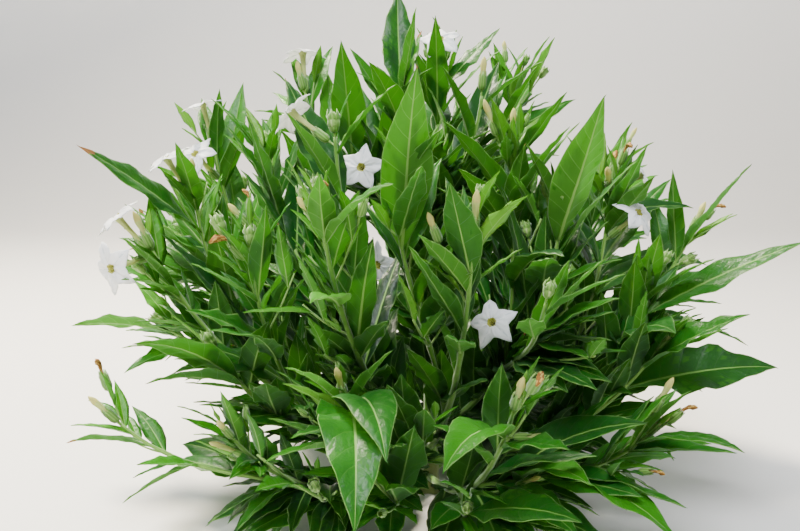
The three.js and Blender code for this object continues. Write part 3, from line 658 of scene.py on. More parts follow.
# Each pass of leaves between the others: how far apart they are tried, the least share of the full
# length and how much more it may be, the turn from the first leaf, and how far up it goes.
BETWEEN_PASSES = [(21, 0.86, 0.28, 70, 1), (25, 0.72, 0.25, 200, 1), (17, 0.6, 0.35, 320, 0.6)]
BETWEEN_FIRST_NODE = 0.2
INNER_FROM = 0.07
INNER_LEAVES = 20
INNER_TURN = 30
INNER_SIZE = (0.45, 0.3, 0.3)
PANICLE_FROM = 0.84
PANICLE_TWIGS = 3
PANICLE_TWIG_LONG = (42, 22)
PANICLE_OPENING = (44, 30)
PANICLE_TURN = 60
AXIL_CHANCE = 0.12
AXIL_AGE = 0.95
AXIL_TURN = 35
AXIL_SIZE = (44, 30)
SPRIG_CHANCE = 0.14
SPRIG_BLOOM = 0.3
SPRIG_LONG = (70, 36)
SPRIG_TURN = 100
SPRIG_OPENING = 46
SPRIG_SIZE = (0.75, 0.5)
SPRIG_LIFT = 1.6
SPRIG_RADII = (1.0, 0.7)
SPRIG_LEAVES_APART = 24
SPRIG_LEAF_FIRST = 0.7
SPRIG_LEAF_LAST = 0.94
SPRIG_LEAF_TURN = 80
SPRIG_LEAF_LONG = (1.0, 0.7)
SPRIG_LEAF_SIZE = (0.8, 0.3)
SPRIG_LEAF_LEAST = 22
SPRIG_LEAF_AGE = (0.8, 0.2)
# Spheres are kept clear before a flower or a leaf: how far ahead each stands, and its radius.
VIEWED_FROM = np.array([-30, -930, 420])
FRONTS_FROM = 0.2
NEAR_CLEAR = [(8, 22), (22, 24), (40, 25), (58, 25), (78, 24), (98, 23)]
FAR_CLEAR = [(118, 22), (138, 21), (158, 20), (180, 20), (202, 19), (224, 18)]
LEAF_CLEAR = [(13, 12), (28, 15), (46, 17), (68, 17)]
CLEAR_SHARES = [2, 4, 6, 8, 10]
# Each stage of a small bloom: up to which throw it comes, how far it reaches and how wide it is.
SMALL_STAGES = {
    "bud": (0.4, 30, 4),
    "calyx": (0.56, 13, 4),
    "capsule": (0.86, 18, 6),
    "withered": (1.01, 20, 6),
}
SMALL_SIZE = (0.72, 0.3)


def clear_of_shown():
    """What stands clear: the space before each open flower and before each leaf that shows well."""
    clear = []
    for mass in masses:
        for bloom in mass["grown"]["blooms"]:
            if bloom["stage"] == "open":
                face = bloom["root"] + bloom["along"] * (PEDICEL + FLOWER_LENGTH)
                ahead, spaces = unit(VIEWED_FROM - face), NEAR_CLEAR + FAR_CLEAR
                if ahead.dot(bloom["along"]) <= FRONTS_FROM:
                    ahead, spaces = bloom["along"], NEAR_CLEAR
                clear += [(*(face + ahead * far), radius) for far, radius in spaces]
        for leaf in mass["grown"]["leaves"]:
            if "shown" in leaf:
                ribs = midrib(leaf)[0][CLEAR_SHARES]
                ahead = unit(VIEWED_FROM - ribs[2])
                clear += [(*(rib + ahead * far), radius) for rib in ribs for far, radius in LEAF_CLEAR]
    return np.array(clear)


CLEAR = clear_of_shown()


def stands_clear(points):
    apart = np.linalg.norm(np.atleast_2d(points)[:, None] - CLEAR[:, :3], axis=2)
    return bool((apart > CLEAR[:, 3]).all())


def grow_small_bloom(root, along, chance, mass):
    stage = stage_of(chance, SMALL_STAGES)
    _, reach, radius = SMALL_STAGES[stage]
    face = root + along * (PEDICEL + reach)
    if not keeps_to_space(face, mass, radius) or not stands_clear(face):
        return None
    if np.linalg.norm(np.array(mass["taken"]) - face, axis=1).min() < radius:
        return None
    mass["taken"] += [face, face - along * reach / 2]
    return {"root": root, "along": along, "stage": stage, "size": thrown((chance * 7) % 1, *SMALL_SIZE)}


def grow_fine_leaf(stem_at, tangent, heading, length, age, roll, mass):
    keep(mass, "leaves", grow_leaf(stem_at, tangent, heading, length, age, roll, mass, FINE_ROOM))


def grow_sprig(foot, seat, tangent_there, heading, length, opening, roll, mass, bloom_chance=1.0):
    """A thin twig with a few narrow leaves, which ends in a bloom or a tuft of young leaves."""
    size = length * thrown(roll(), *SPRIG_SIZE)
    out = leaving_stem(tangent_there, heading, opening + TWIG_SPREAD * (roll() - 0.5))
    curve = Limb(foot, foot + out * size / 2, foot + out * size + [0, 0, SPRIG_LIFT * TWIG_LIFT * size])
    points = curve.points(LIMB_SHARES)
    if not keeps_to_space(points, mass, TWIG_RADII[0]) or not stands_clear(points):
        return
    keep(mass, "twigs", {"curve": curve, "seat": seat, "radii": SPRIG_RADII})
    chance = roll()
    if chance < bloom_chance:
        bloom = grow_small_bloom(curve.point(1), curve.tangent(1), chance / bloom_chance, mass)
        keep(mass, "blooms", bloom)
    leaves = max(2, round(size / SPRIG_LEAVES_APART))
    for i in range(leaves):
        at = (i + SPRIG_LEAF_FIRST) / leaves * SPRIG_LEAF_LAST
        stem_at = (curve.point(at), seat * (1 - at))
        turned = heading + SPRIG_LEAF_TURN + GOLDEN_ANGLE * i
        long = mix(*SPRIG_LEAF_LONG, at) * size * thrown(roll(), *SPRIG_LEAF_SIZE) + SPRIG_LEAF_LEAST
        grow_fine_leaf(stem_at, curve.tangent(at), turned, long, thrown(at, *SPRIG_LEAF_AGE), roll, mass)


def grow_finer(mass):
    for k, leader in enumerate(mass["leaders"]):
        roll = dice(mass["seed"] + LEADER_SEED * k + FINE_SEED)
        curve, start, first = leader["curve"], leader["from"], leader["first"]
        length = curve.length() * (1 - start)
        for i in range(PANICLE_TWIGS):
            part = i / (PANICLE_TWIGS - 1)
            at = mix(PANICLE_FROM, END_BLOOM_AT, part)
            heading = first + PANICLE_TURN + GOLDEN_ANGLE * i
            long, opening = mix(*PANICLE_TWIG_LONG, part), mix(*PANICLE_OPENING, at)
            grow_sprig(*stem_place(leader, at), curve.tangent(at), heading, long, opening, roll, mass)
        for apart, least, spread, turned, until in BETWEEN_PASSES:
            count = max(3, round(length * until / apart))
            for i in range(count):
                u = until * (i + BETWEEN_FIRST_NODE) / count
                at = mix(start, 1, u)
                own = leader["longest"] * length_share(u) * thrown(roll(), least, spread)
                heading = first + turned + GOLDEN_ANGLE * i
                grow_fine_leaf(stem_place(leader, at), curve.tangent(at), heading, own, u, roll, mass)
        for i in range(0 if k else INNER_LEAVES):
            at = mix(INNER_FROM, start, (i + 0.5) / INNER_LEAVES)
            heading = first + INNER_TURN + GOLDEN_ANGLE * i
            least, second, spread = INNER_SIZE
            own = leader["longest"] * thrown(roll(), least + second * (i % 2), spread)
            foot = curve.point(at)
            grow_fine_leaf((foot, 0 * foot), curve.tangent(at), heading, own, 0, roll, mass)
        nodes = max(2, round(length / INTERNODE))
        for i in range(nodes):
            u = (i + FIRST_NODE) / nodes
            at = mix(start, 1, u)
            stem_at, tangent = stem_place(leader, at), curve.tangent(at)
            heading = first + GOLDEN_ANGLE * i
            for side in (-1, 1):
                if roll() < SPRIG_CHANCE:
                    turned, long = heading + SPRIG_TURN * side, mix(*SPRIG_LONG, u)
                    grow_sprig(*stem_at, tangent, turned, long, SPRIG_OPENING, roll, mass, SPRIG_BLOOM)
                if roll() < AXIL_CHANCE:
                    turned, own = heading + AXIL_TURN * side, thrown(roll(), *AXIL_SIZE)
                    grow_fine_leaf(stem_at, tangent, turned, own, AXIL_AGE, roll, mass)


for mass in masses:
    grow_finer(mass)
print("dressed:", counts())

# %% [markdown]
# ## Faces into pieces
#
# Everything of one kind in one part of the crown becomes one joined mesh. Each face knows its tint,
# so that colours with a place, such as a pale vein or a brown tip, stay where they are put.

# %% Gather faces and make a piece of them
MM = 0.001


class Heap:
    """Points in millimetres with faces of three or four corners, and a tint for each face."""

    def __init__(self):
        self.places, self.base = [], 0
        self.faces = {3: [], 4: []}
        self.tints = {3: [], 4: []}

    def add(self, places, *sheets):
        for faces, tints in sheets:
            corners = faces.shape[1]
            self.faces[corners].append(faces + self.base)
            self.tints[corners].append(np.broadcast_to(tints, len(faces)))
        self.places.append(places)
        self.base += len(places)

    def triangles(self):
        return sum(len(f) for f in self.faces[3]) + 2 * sum(len(f) for f in self.faces[4])


def make_piece(name, heap, skins, nodes):
    mesh = bpy.data.meshes.new(name)
    places = np.vstack(heap.places) * MM
    corners, sizes, tints = [], [], []
    for size in (4, 3):
        if heap.faces[size]:
            faces = np.vstack(heap.faces[size])
            corners.append(faces.ravel())
            sizes.append(np.full(len(faces), size))
            tints.append(np.concatenate(heap.tints[size]))
    corners, sizes, tints = (np.concatenate(x).astype(np.int32) for x in (corners, sizes, tints))
    starts = np.concatenate([[0], np.cumsum(sizes)[:-1]]).astype(np.int32)
    mesh.vertices.add(len(places))
    mesh.vertices.foreach_set("co", places.astype(np.float32).ravel())
    mesh.loops.add(len(corners))
    mesh.loops.foreach_set("vertex_index", corners)
    mesh.polygons.add(len(starts))
    mesh.polygons.foreach_set("loop_start", starts)
    mesh.polygons.foreach_set("material_index", tints)
    mesh.polygons.foreach_set("use_smooth", np.ones(len(starts), bool))
    mesh.update(calc_edges=True)
    mesh.validate()
    for skin in skins:
        mesh.materials.append(skin)
    piece = bpy.data.objects.new(name, mesh)
    bpy.context.scene.collection.objects.link(piece)
    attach(piece, "root")
    if nodes:
        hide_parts(*nodes)
    print(name, heap.triangles(), "triangles")


def grid(rows, columns, wrapped=False):
    """Quads of a grid of points, with the row and the column of each."""
    around = columns if wrapped else columns - 1
    row, column = np.divmod(np.arange((rows - 1) * around), around)
    after = (column + 1) % columns
    a, b = row * columns, (row + 1) * columns
    return np.stack([a + column, a + after, b + after, b + column], 1), row, column


def angles(columns):
    return 2 * np.pi * np.arange(columns) / columns


def close_tube(body, middles, heap, tints):
    """Rings of points joined into a tube, with a fan to the middle of each end."""
    rows, columns = body.shape[:2]
    faces, row, column = grid(rows, columns, wrapped=True)
    here = np.arange(columns)
    after = (here + 1) % columns
    foot, last = np.full(columns, rows * columns), (rows - 1) * columns
    start = np.stack([after, here, foot], 1)
    end = np.stack([here + last, after + last, foot + 1], 1)
    colour = tints(row, column) if callable(tints) else np.full(len(faces), tints)
    points = np.vstack([body.reshape(-1, 3), *middles])
    heap.add(points, (faces, colour), (start, colour[0]), (end, colour[-1]))


def banded(every, marked, plain):
    """Tints of a tube on which every so many columns are marked."""
    return lambda row, column: np.where(column % every == 0, marked, plain)


# %% [markdown]
# ## Finishes of leaves, stems and flowers
#
# A tobacco leaf is darker and blue-green above and paler below, with a pale hairy midrib and side
# veins that show as lines. Light comes through it as yellow-green. The finish is a satin skin mixed
# with a share that lets light through, with a fine uneven colour and a fine grain for the hairs.
# Stems are pale green and downy, and flowers are thin, white and matte.

# %% Finishes
IOR = 1.45


def linear(colour):
    channels = [int(colour[k : k + 2], 16) / 255 for k in (0, 2, 4)]
    return [c / 12.92 if c <= 0.04045 else ((c + 0.055) / 1.055) ** 2.4 for c in channels] + [1]


def add_node(tree, kind, inputs=None, **settings):
    node = tree.nodes.new(kind)
    for name, value in settings.items():
        setattr(node, name, value)
    for name, value in (inputs or {}).items():
        if isinstance(value, bpy.types.NodeSocket):
            tree.links.new(value, node.inputs[name])
        else:
            node.inputs[name].default_value = value
    return node


def start_material(name):
    material = bpy.data.materials.new(name)
    material.use_nodes = True
    material.node_tree.nodes.clear()
    return material, material.node_tree


def noise_of(tree, place, size_mm, detail):
    inputs = {"Vector": place, "Scale": 1 / (size_mm * MM), "Detail": detail}
    return add_node(tree, "ShaderNodeTexNoise", inputs).outputs["Fac"]


def uneven(tree, colour, patch_mm, change):
    """A colour that wanders a little darker and lighter over patches of a real size."""
    place = add_node(tree, "ShaderNodeTexCoord").outputs["Object"]
    span = {"From Min": 0.3, "From Max": 0.7, "To Min": 1 - change, "To Max": 1 + change}
    span["Value"] = noise_of(tree, place, patch_mm, 3)
    value = add_node(tree, "ShaderNodeMapRange", span)
    shade = add_node(tree, "ShaderNodeHueSaturation", {"Color": colour, "Value": value.outputs["Result"]})
    return place, shade.outputs["Color"]


def grain(tree, place, grain_mm, height_mm):
    height = {"Height": noise_of(tree, place, grain_mm, 2), "Distance": height_mm * MM, "Strength": 0.6}
    return add_node(tree, "ShaderNodeBump", height).outputs["Normal"]


def satin(tree, colour, patch, relief, roughness, sheen, **more):
    """A surface of an uneven colour with a fine grain, and the grain's normal."""
    place, shade = uneven(tree, linear(colour), *patch)
    normal = grain(tree, place, *relief)
    inputs = {"Base Color": shade, "Roughness": roughness, "IOR": IOR, "Normal": normal}
    inputs |= {"Sheen Weight": sheen, **more}
    return add_node(tree, "ShaderNodeBsdfPrincipled", inputs).outputs[0], normal


def finish_material(tree, surface):
    add_node(tree, "ShaderNodeOutputMaterial", {"Surface": surface})


def living_skin(name, colour, glow, through=0.5, roughness=0.5, sheen=0.2, specular=0.5, relief=(1.6, 0.25)):
    """A thin living skin: a satin surface that also lets some light through."""
    material, tree = start_material(name)
    more = {"Sheen Roughness": 0.5, "Specular IOR Level": specular}
    skin, normal = satin(tree, colour, (14, 0.1), relief, roughness, sheen, **more)
    shining = add_node(tree, "ShaderNodeBsdfTranslucent", {"Color": linear(glow), "Normal": normal})
    both = add_node(tree, "ShaderNodeMixShader", {0: through, 1: skin, 2: shining.outputs[0]})
    finish_material(tree, both.outputs[0])
    return material


def solid_skin(name, colour, roughness=0.6, sheen=0.3, patch_mm=6, change=0.12, height_mm=0.2):
    """An opaque skin, such as a downy stem or a dry husk."""
    material, tree = start_material(name)
    finish_material(tree, satin(tree, colour, (patch_mm, change), (0.9, height_mm), roughness, sheen)[0])
    return material


def skins_of(name, colours, *look):
    return [living_skin(f"{name} {k}", colour, *look) for k, colour in enumerate(colours)]


# Tints run from dark to light; the one a leaf gets carries painted shade inside the crown and painted light
# outside it.
UPPER = ["0E3014", "144A18", "1E6216", "2E7A0F", "479412", "72B022"]
UNDER = ["21561A", "30701C", "478A22", "68A62E"]
UPPER_LINES = ["1F4C20", "33731B", "62A026"]
UNDER_LINES = ["3E7A28", "70A63C"]
BLISTERS = (4.2, 1.2)
leaf_skins = [
    *skins_of("leaf above", UPPER, "7EC60C", 0.4, 0.4, 0.04, 0.5, BLISTERS),
    *skins_of("leaf below", UNDER, "88C818", 0.38, 0.6, 0.15, 0.3),
    *skins_of("vein above", UPPER_LINES, "98D034", 0.34, 0.45, 0.1),
    *skins_of("vein below", UNDER_LINES, "A0D440", 0.34, 0.65),
    living_skin("midrib above", "78A846", "B0DC68", 0.25, 0.6),
    living_skin("midrib below", "82B04C", "B4DC70", 0.25, 0.6),
    living_skin("leaf dry tip", "9A6A30", "C08A40", 0.2, 0.8),
    living_skin("leaf margin", "6E9E44", "9CCC58", 0.32, 0.6, 0.1),
]
FIRST_LINE = len(UPPER) + len(UNDER)
FIRST_UNDER_LINE = FIRST_LINE + len(UPPER_LINES)
RIB, UNDER_RIB, DRY, MARGIN = range(len(leaf_skins) - 4, len(leaf_skins))
stem_skins = [
    solid_skin("stem green", "62942C", 0.62, 0.35),
    solid_skin("stem pale", "7CA844", 0.6, 0.4),
    solid_skin("stem foot", "849250", 0.75, 0.3),
]
STEM, STEM_PALE, STEM_BASE = range(3)
flower_skins = [
    living_skin("petal", "FBFCFD", "FFFFFF", 0.35, 0.6, 0.1, 0.3),
    # The crease tint is grey-blue painted shade down the fold of each lobe.
    living_skin("petal crease", "DCE2E8", "F4F6EE", 0.3, 0.6, 0.1, 0.3),
    solid_skin("flower throat", "A6A83C", 0.6),
    # The well tint is painted shade: dark olive deep in the tube.
    solid_skin("flower well", "45431A", 0.8),
    living_skin("flower tube", "C2CC7C", "D8E490", 0.3, 0.6, 0.15),
    living_skin("calyx", "5E9433", "A0C850", 0.2, 0.6, 0.4),
    living_skin("calyx rib", "86B04F", "B8D878", 0.2, 0.6, 0.4),
    living_skin("bud tip", "CDC874", "DED890", 0.25, 0.6, 0.05),
    solid_skin("capsule", "739C44", 0.5),
    solid_skin("capsule stripe", "A9C278", 0.5),
    solid_skin("withered", "875A22", 0.85, 0, 4, 0.3, 0.5),
    solid_skin("withered pale", "B8984E", 0.85, 0, 4, 0.25, 0.5),
]
PETAL, CREASE_SHADE, THROAT, WELL_SHADE, TUBE, CALYX, CALYX_RIB, BUD_TIP, CAPSULE, STRIPE, BROWN, TAN = range(12)
print("finishes:", len(leaf_skins) + len(stem_skins) + len(flower_skins))

# %% [markdown]
# ## Leaves
#
# A leaf is a thin closed solid that follows its midrib. Between the margin and the midrib the blade
# is folded up a little and arched, it puckers between the side veins, and its margin waves. The side
# veins run forward. The lines of the veins, the midrib and the margin are strips of faces of their
# own, because they have a place. A flat picture of a leaf would be lighter but has no thickness.

# %% Build the leaves
LEAF_THICKNESS = 0.35
MARGIN_WIDTH = 0.55
RIB_HALF_WIDTH = 1.15
RIB_BULGE = 1.1
STALK_HALF_WIDTH = 1.5
VEIN_HALF_WIDTH = 0.32
VEIN_FORWARD = 0.11
PUCKER = 1.5
LARGE_LEAF = 72
VEIN_APART = 21
BLADE_BASE = 0.88
BLADE_TIP = 1.26
OTHER_WIDTH = 1.04
MIDDLE_LEAF = 40
LAST_ROW = 0.975
CROWN_SIZE = (380, 380, 533)
LARGE_COLUMNS = np.array([-1, -0.97, -0.66, -0.33, -0.04, 0.04, 0.33, 0.66, 0.97, 1])
SMALL_COLUMNS = np.array([-1, -0.52, -0.05, 0.05, 0.52, 1])
SMALL_ROWS = np.array([0, 0.06, 0.16, 0.3, 0.45, 0.62, 0.8, LAST_ROW])
SECOND_ROW = 0.035
VEINS_FROM = 0.09
VEINS_OVER = 0.8
VEIN_IN_STEP = 0.3
CROWN_AFTER_VEIN = 0.42
# The length from which a stalk, a midrib, a pucker or a bulge has its full size.
STALK_FULL_AT = 90
RIB_FULL_AT = 130
PUCKER_FULL_AT = 110
BULGE_FULL_AT = 120
RIB_SUNK = 0.25
FOLD = (9, 16)
FOLD_YOUNG = 9
CURL = (0.05, 0.3)
WAVES = (1.6, 2.6)
WAVE_LIFT = (0.07, 0.17)
WAVER = 0.05
WAVER_RATE = 9
SIDE_PHASE = 0.6
BOW = 0.03
FULL_TURN = 6.28
DRY_CHANCE = 0.04
DRY_FROM = (0.8, 0.12)
# How light a leaf's tint is: dark inside the crown as painted shade, lighter outside as painted light,
# lighter when young in the leaf's own colour, and by chance.
PAINTED_SHADE_INSIDE = 0.08
PAINTED_LIGHT_OUTSIDE = 0.48
LIGHT_YOUNG = 0.3
LIT_FROM = 0.3
LIT_OVER = 0.6
YOUNG_FROM = 0.6
YOUNG_LENGTH = 70
LIGHT_CHANCE = 0.42
SHOWN_CHANCE = 0.28
SHOWN_DARKER = 0.11
LEAF_BUILD_SEED = 70000


def blade(share):
    """The blade that is drawn has fuller sides and a fuller tip than the CAD model's."""
    fall = ((1 - share) / (1 - WIDEST_AT)) ** BLADE_TIP
    return (share / WIDEST_AT) ** BLADE_BASE * fall


def leaf_rows(length):
    """Shares of the leaf where it has a row of points, and whether a vein starts there."""
    pairs = int(np.clip(round(length / VEIN_APART), 3, 9))
    half = VEIN_HALF_WIDTH / length
    rows, veins = [0.0, SECOND_ROW], [False, False]
    for k in range(pairs):
        middle = VEINS_FROM + VEINS_OVER * (k + VEIN_IN_STEP) / pairs
        rows += [middle - half, middle + half, middle + CROWN_AFTER_VEIN / pairs]
        veins += [True, False, False]
    return np.array(rows + [LAST_ROW]), np.array(veins)


def along_rib(leaf, places, shares):
    """Places on the smooth midrib."""
    k = np.minimum((shares * MIDRIB_STEPS).astype(int), MIDRIB_STEPS - 1)
    f = (shares * MIDRIB_STEPS - k)[..., None]
    ways_at = ways(leaf, STEPS)[0] * leaf["length"] / MIDRIB_STEPS
    a, b, u, v = places[k], places[k + 1], ways_at[k], ways_at[k + 1]
    ff, fff = f * f, f * f * f
    return a * (2 * fff - 3 * ff + 1) + b * (3 * ff - 2 * fff) + u * (fff - 2 * ff + f) + v * (fff - ff)


def tint_of(leaf, roll):
    """Painted shade darkens leaves inside and low in the crown, painted light brightens those outside and
    high up, and young leaves are yellow-green in their own colour.
    """
    middle = leaf["root"] + ways(leaf, np.array(0.4))[0] * leaf["length"] * 0.5
    out = math.sqrt(sum((c / r) ** 2 for c, r in zip(middle, CROWN_SIZE)))
    young = np.clip((leaf["age"] - YOUNG_FROM) / (1 - YOUNG_FROM), 0, 1)
    young = young * np.clip(1.5 - leaf["length"] / YOUNG_LENGTH, 0, 1)
    chance, darker = (SHOWN_CHANCE, SHOWN_DARKER) if "shown" in leaf else (LIGHT_CHANCE, 0)
    # The crown-place share is painted shade inside and low down and painted light outside and high up.
    light = PAINTED_SHADE_INSIDE + PAINTED_LIGHT_OUTSIDE * np.clip((out - LIT_FROM) / LIT_OVER, 0, 1) + LIGHT_YOUNG * young
    light = light + chance * (roll() - 0.5) - darker
    upper, under = (int(np.clip(light * len(tints), 0, len(tints) - 1)) for tints in (UPPER, UNDER))
    return upper, len(UPPER) + under


def build_leaf(leaf, heap, roll):
    length = leaf["length"]
    large = length > LARGE_LEAF
    columns = LARGE_COLUMNS if large else SMALL_COLUMNS
    veined = length > MIDDLE_LEAF
    rows, veins = leaf_rows(length) if veined else (SMALL_ROWS, np.zeros(len(SMALL_ROWS), bool))
    places, _, _ = midrib(leaf)
    far = np.abs(columns)
    share = rows[:, None] + VEIN_FORWARD * np.sin(np.pi * rows)[:, None] * far**1.2
    share = np.minimum(share, 0.99)
    half = leaf["width"] / 2 * (1 if "shown" in leaf else OTHER_WIDTH) * blade(share)
    stalk = STALK_HALF_WIDTH * min(1, length / STALK_FULL_AT) * (1 - share)
    half = np.maximum(half, stalk)
    off = columns * half
    middle = len(columns) // 2
    rib = np.minimum(RIB_HALF_WIDTH * (length / RIB_FULL_AT) * (1.15 - rows), 0.22 * half[:, 0])
    off[:, middle - 1], off[:, middle] = -rib, rib
    if large:
        rim = np.minimum(MARGIN_WIDTH, 0.25 * half[:, 0])
        off[:, 1], off[:, -2] = -(half[:, 0] - rim), half[:, -1] - rim
    spread = np.clip(np.abs(off) / half, 0, 1)
    young = np.clip(leaf["age"], 0, 1)
    fold = math.radians(thrown(roll(), *FOLD) + FOLD_YOUNG * young)
    curl = thrown(roll(), *CURL)
    waves, phase, lift = thrown(roll(), *WAVES), FULL_TURN * roll(), thrown(roll(), *WAVE_LIFT)
    body = np.sin(np.pi * np.clip(share, 0, 1)) ** 0.7
    height = np.abs(off) * math.tan(fold) * (1.25 - 0.75 * share) - curl * spread**2 * half
    side_phase = phase + np.sign(off) * (SIDE_PHASE + roll())
    height += lift * half * body * spread**2 * np.sin(FULL_TURN * waves * share + side_phase)
    off = off * (1 + WAVER * spread**3 * np.sin(WAVER_RATE * waves * share + side_phase))
    if veined:
        crowned = np.zeros(len(rows))
        crowned[4::3] = 1
        inner = np.sin(np.pi * spread) ** 0.7
        height += PUCKER * min(1, length / PUCKER_FULL_AT) * crowned[:, None] * inner
    bow = length * BOW * (roll() - 0.5)
    along, up, left = ways(leaf, share)
    middle_line = along_rib(leaf, places + leaf["seat"], share)
    middle_line = middle_line + left * (bow * np.sin(np.pi * share * 1.3) * share)[..., None]
    top = middle_line + left * off[..., None] + up * height[..., None]
    thick = np.full(share.shape, LEAF_THICKNESS)
    bulge = RIB_BULGE * min(1, length / BULGE_FULL_AT) * (1.1 - rows)
    thick[:, middle - 1] += bulge
    thick[:, middle] += bulge
    top[:, middle - 1 : middle + 1] -= up[:, middle - 1 : middle + 1] * RIB_SUNK
    low = (top - up * thick[..., None])[:, 1:-1]
    n, m = share.shape
    tip = places[-1] + leaf["seat"]
    points = np.vstack([top.reshape(-1, 3), low.reshape(-1, 3), tip[None]])
    faces, row, column = grid(n, m)
    lower = np.arange(n * m).reshape(n, m)
    lower[:, 1:-1] = n * m + np.arange(n * (m - 2)).reshape(n, m - 2)
    under = lower.ravel()[faces][:, ::-1]
    # A leaf's tints, and the vein lines that follow them, carry the painted shade and painted light of its
    # place in the crown.
    upper_tint, under_tint = tint_of(leaf, roll)
    is_rib = column == middle - 1
    is_edge = ((column == 0) | (column == m - 2)) & large
    line = FIRST_LINE + upper_tint * len(UPPER_LINES) // len(UPPER)
    under_line = FIRST_UNDER_LINE + (under_tint - len(UPPER)) * len(UNDER_LINES) // len(UNDER)
    tip_tint, dry_from = upper_tint, 1
    if roll() < DRY_CHANCE:
        tip_tint, dry_from = DRY, thrown(roll(), *DRY_FROM)
    is_what = [rows[row] > dry_from, is_rib, is_edge, veins[row]]
    above = np.select(is_what, [DRY, RIB, MARGIN, line], upper_tint)
    below = np.select(is_what, [DRY, UNDER_RIB, MARGIN, under_line], under_tint)
    last = np.arange((n - 1) * m, n * m)
    end = np.full(m - 1, n * m + n * (m - 2))
    point_top = np.stack([last[:-1], last[1:], end], 1)
    point_low = np.stack([lower[-1, 1:], lower[-1, :-1], end], 1)
    base, base_low = np.arange(m), lower[0]
    cap = np.stack([base[1:-2], base_low[1:-2], base_low[2:-1], base[2:-1]], 1)
    cap_ends = np.array([[0, base_low[1], 1], [m - 2, base_low[m - 2], m - 1]])
    tips = [(point_top, tip_tint), (point_low, tip_tint)]
    heap.add(points, (faces, above), (under, below), *tips, (cap, RIB), (cap_ends, RIB))


CROWN_PARTS = {
    "left_low": ["left_low", "left_front"],
    "left": ["left", "left_rear"],
    "front": ["front_low", "front_left", "front_middle"],
    "right_low": ["front_right_low", "right_low"],
    "right": ["front_right", "right"],
    "rear_right": ["rear_right", "rear_middle"],
    "rear_left": ["rear_left", "rear_low"],
    "top": ["top"],
}
by_name = {m["name"]: m for m in masses}
for part, names in CROWN_PARTS.items():
    heap = Heap()
    for name in names:
        mass = by_name[name]
        roll = dice(mass["seed"] + LEAF_BUILD_SEED)
        for leaf in mass["grown"]["leaves"]:
            build_leaf(leaf, heap, roll)
    make_piece("leaves_" + part, heap, leaf_skins, ["foliage_" + x for x in names])

# %% [markdown]
# ## Stems and twigs
#
# The main stem, the boughs and the leafy stems are green, downy and faintly ribbed, with a swelling
# at each node. Each is a closed tube of rings along its curve.

# %% Build the stems
NODE_SWELL = 0.22
NODE_LONG = 7
RIDGE_DEPTH = 0.07
STEM_STEP = 5
STEM_COLUMNS = 10
STEM_WANDER = 0.02
PALE_EVERY = 5
TRUNK_COLUMNS = 48
TRUNK_ROWS = 24
TRUNK_BASE_ROWS = 9
TRUNK_OVER = 6
TWIG_SIDES = 6


def sides_along(points):
    """Two sides of a line of points that turn as little as they can."""
    along = unit(np.gradient(points, axis=0))
    spare = np.array([0.0, 0, 1]) if abs(along[0][2]) < 0.9 else np.array([1.0, 0, 0])
    side = unit(np.cross(along[0], spare))
    first = [side]
    for way in along[1:]:
        side = unit(side - way * side.dot(way))
        first.append(side)
    first = np.array(first)
    return first, np.cross(along, first)


def loft(points, radii, heap, tints):
    """A closed tube: rings of given radii, one row each, around a line of points."""
    points, radii = np.asarray(points, float), np.asarray(radii, float)
    first, second = sides_along(points)
    angle = angles(radii.shape[1])[:, None]
    ring = first[:, None] * np.cos(angle) + second[:, None] * np.sin(angle)
    close_tube(points[:, None] + ring * radii[..., None], (points[0], points[-1]), heap, tints)


stems = Heap()
for mass in masses:
    for k, leader in enumerate(mass["leaders"]):
        curve, start = leader["curve"], leader["from"]
        long = curve.length()
        shares = np.linspace(0, 1, max(4, round(long / STEM_STEP)) + 1)
        points = np.array([curve.point(t) + leader["seat"] * seat_fade(t) for t in shares])
        if k:
            radius = mix(leader["radius"], TIP_RADIUS, shares)
        else:
            radius = np.interp(shares, [0, start, 1], [BOUGH_RADIUS, leader["radius"], TIP_RADIUS])
        nodes = max(1, round(long * (1 - start) / INTERNODE))
        for i in range(nodes):
            at = mix(start, 1, (i + FIRST_NODE) / nodes)
            radius = radius * (1 + NODE_SWELL * np.exp(-(((shares - at) * long / NODE_LONG) ** 2)))
        ridge = 1 + RIDGE_DEPTH * np.cos(np.arange(STEM_COLUMNS) * np.pi)
        wander = STEM_WANDER * np.sin(shares * 40 + mass["seed"])[:, None]
        heavy = (radius[:, None] * (ridge + wander)).clip(0.3)
        loft(points, heavy, stems, banded(PALE_EVERY, STEM_PALE, STEM))
make_piece("leafy_stems", stems, stem_skins, ["bough_" + m["name"] for m in masses])

trunk = Heap()
heights = np.linspace(0, STEM_HEIGHT + TRUNK_OVER, TRUNK_ROWS)
around = np.arange(TRUNK_COLUMNS) * 360 / TRUNK_COLUMNS
radii = stem_radius(np.minimum(heights, STEM_HEIGHT)[:, None], around[None])
radii *= 1 - 0.5 * np.clip((heights - STEM_HEIGHT + 4) / 12, 0, 1)[:, None] ** 2
furrow = 0.35 * np.sin(np.radians(around) * 11)[None] + 0.25 * np.sin(np.radians(around) * 5 + 2)[None]
ringed = 0.4 * np.sin(heights / 6.5)[:, None] * np.sin(np.radians(around) * 2 + 1)[None]


def trunk_tints(row, column):
    return np.where(row < TRUNK_BASE_ROWS, STEM_BASE, np.where(column % 6 == 0, STEM_PALE, STEM))


loft(np.outer(heights, [0, 0, 1]), radii + furrow + ringed, trunk, trunk_tints)
make_piece("trunk", trunk, stem_skins, ["main_stem"])

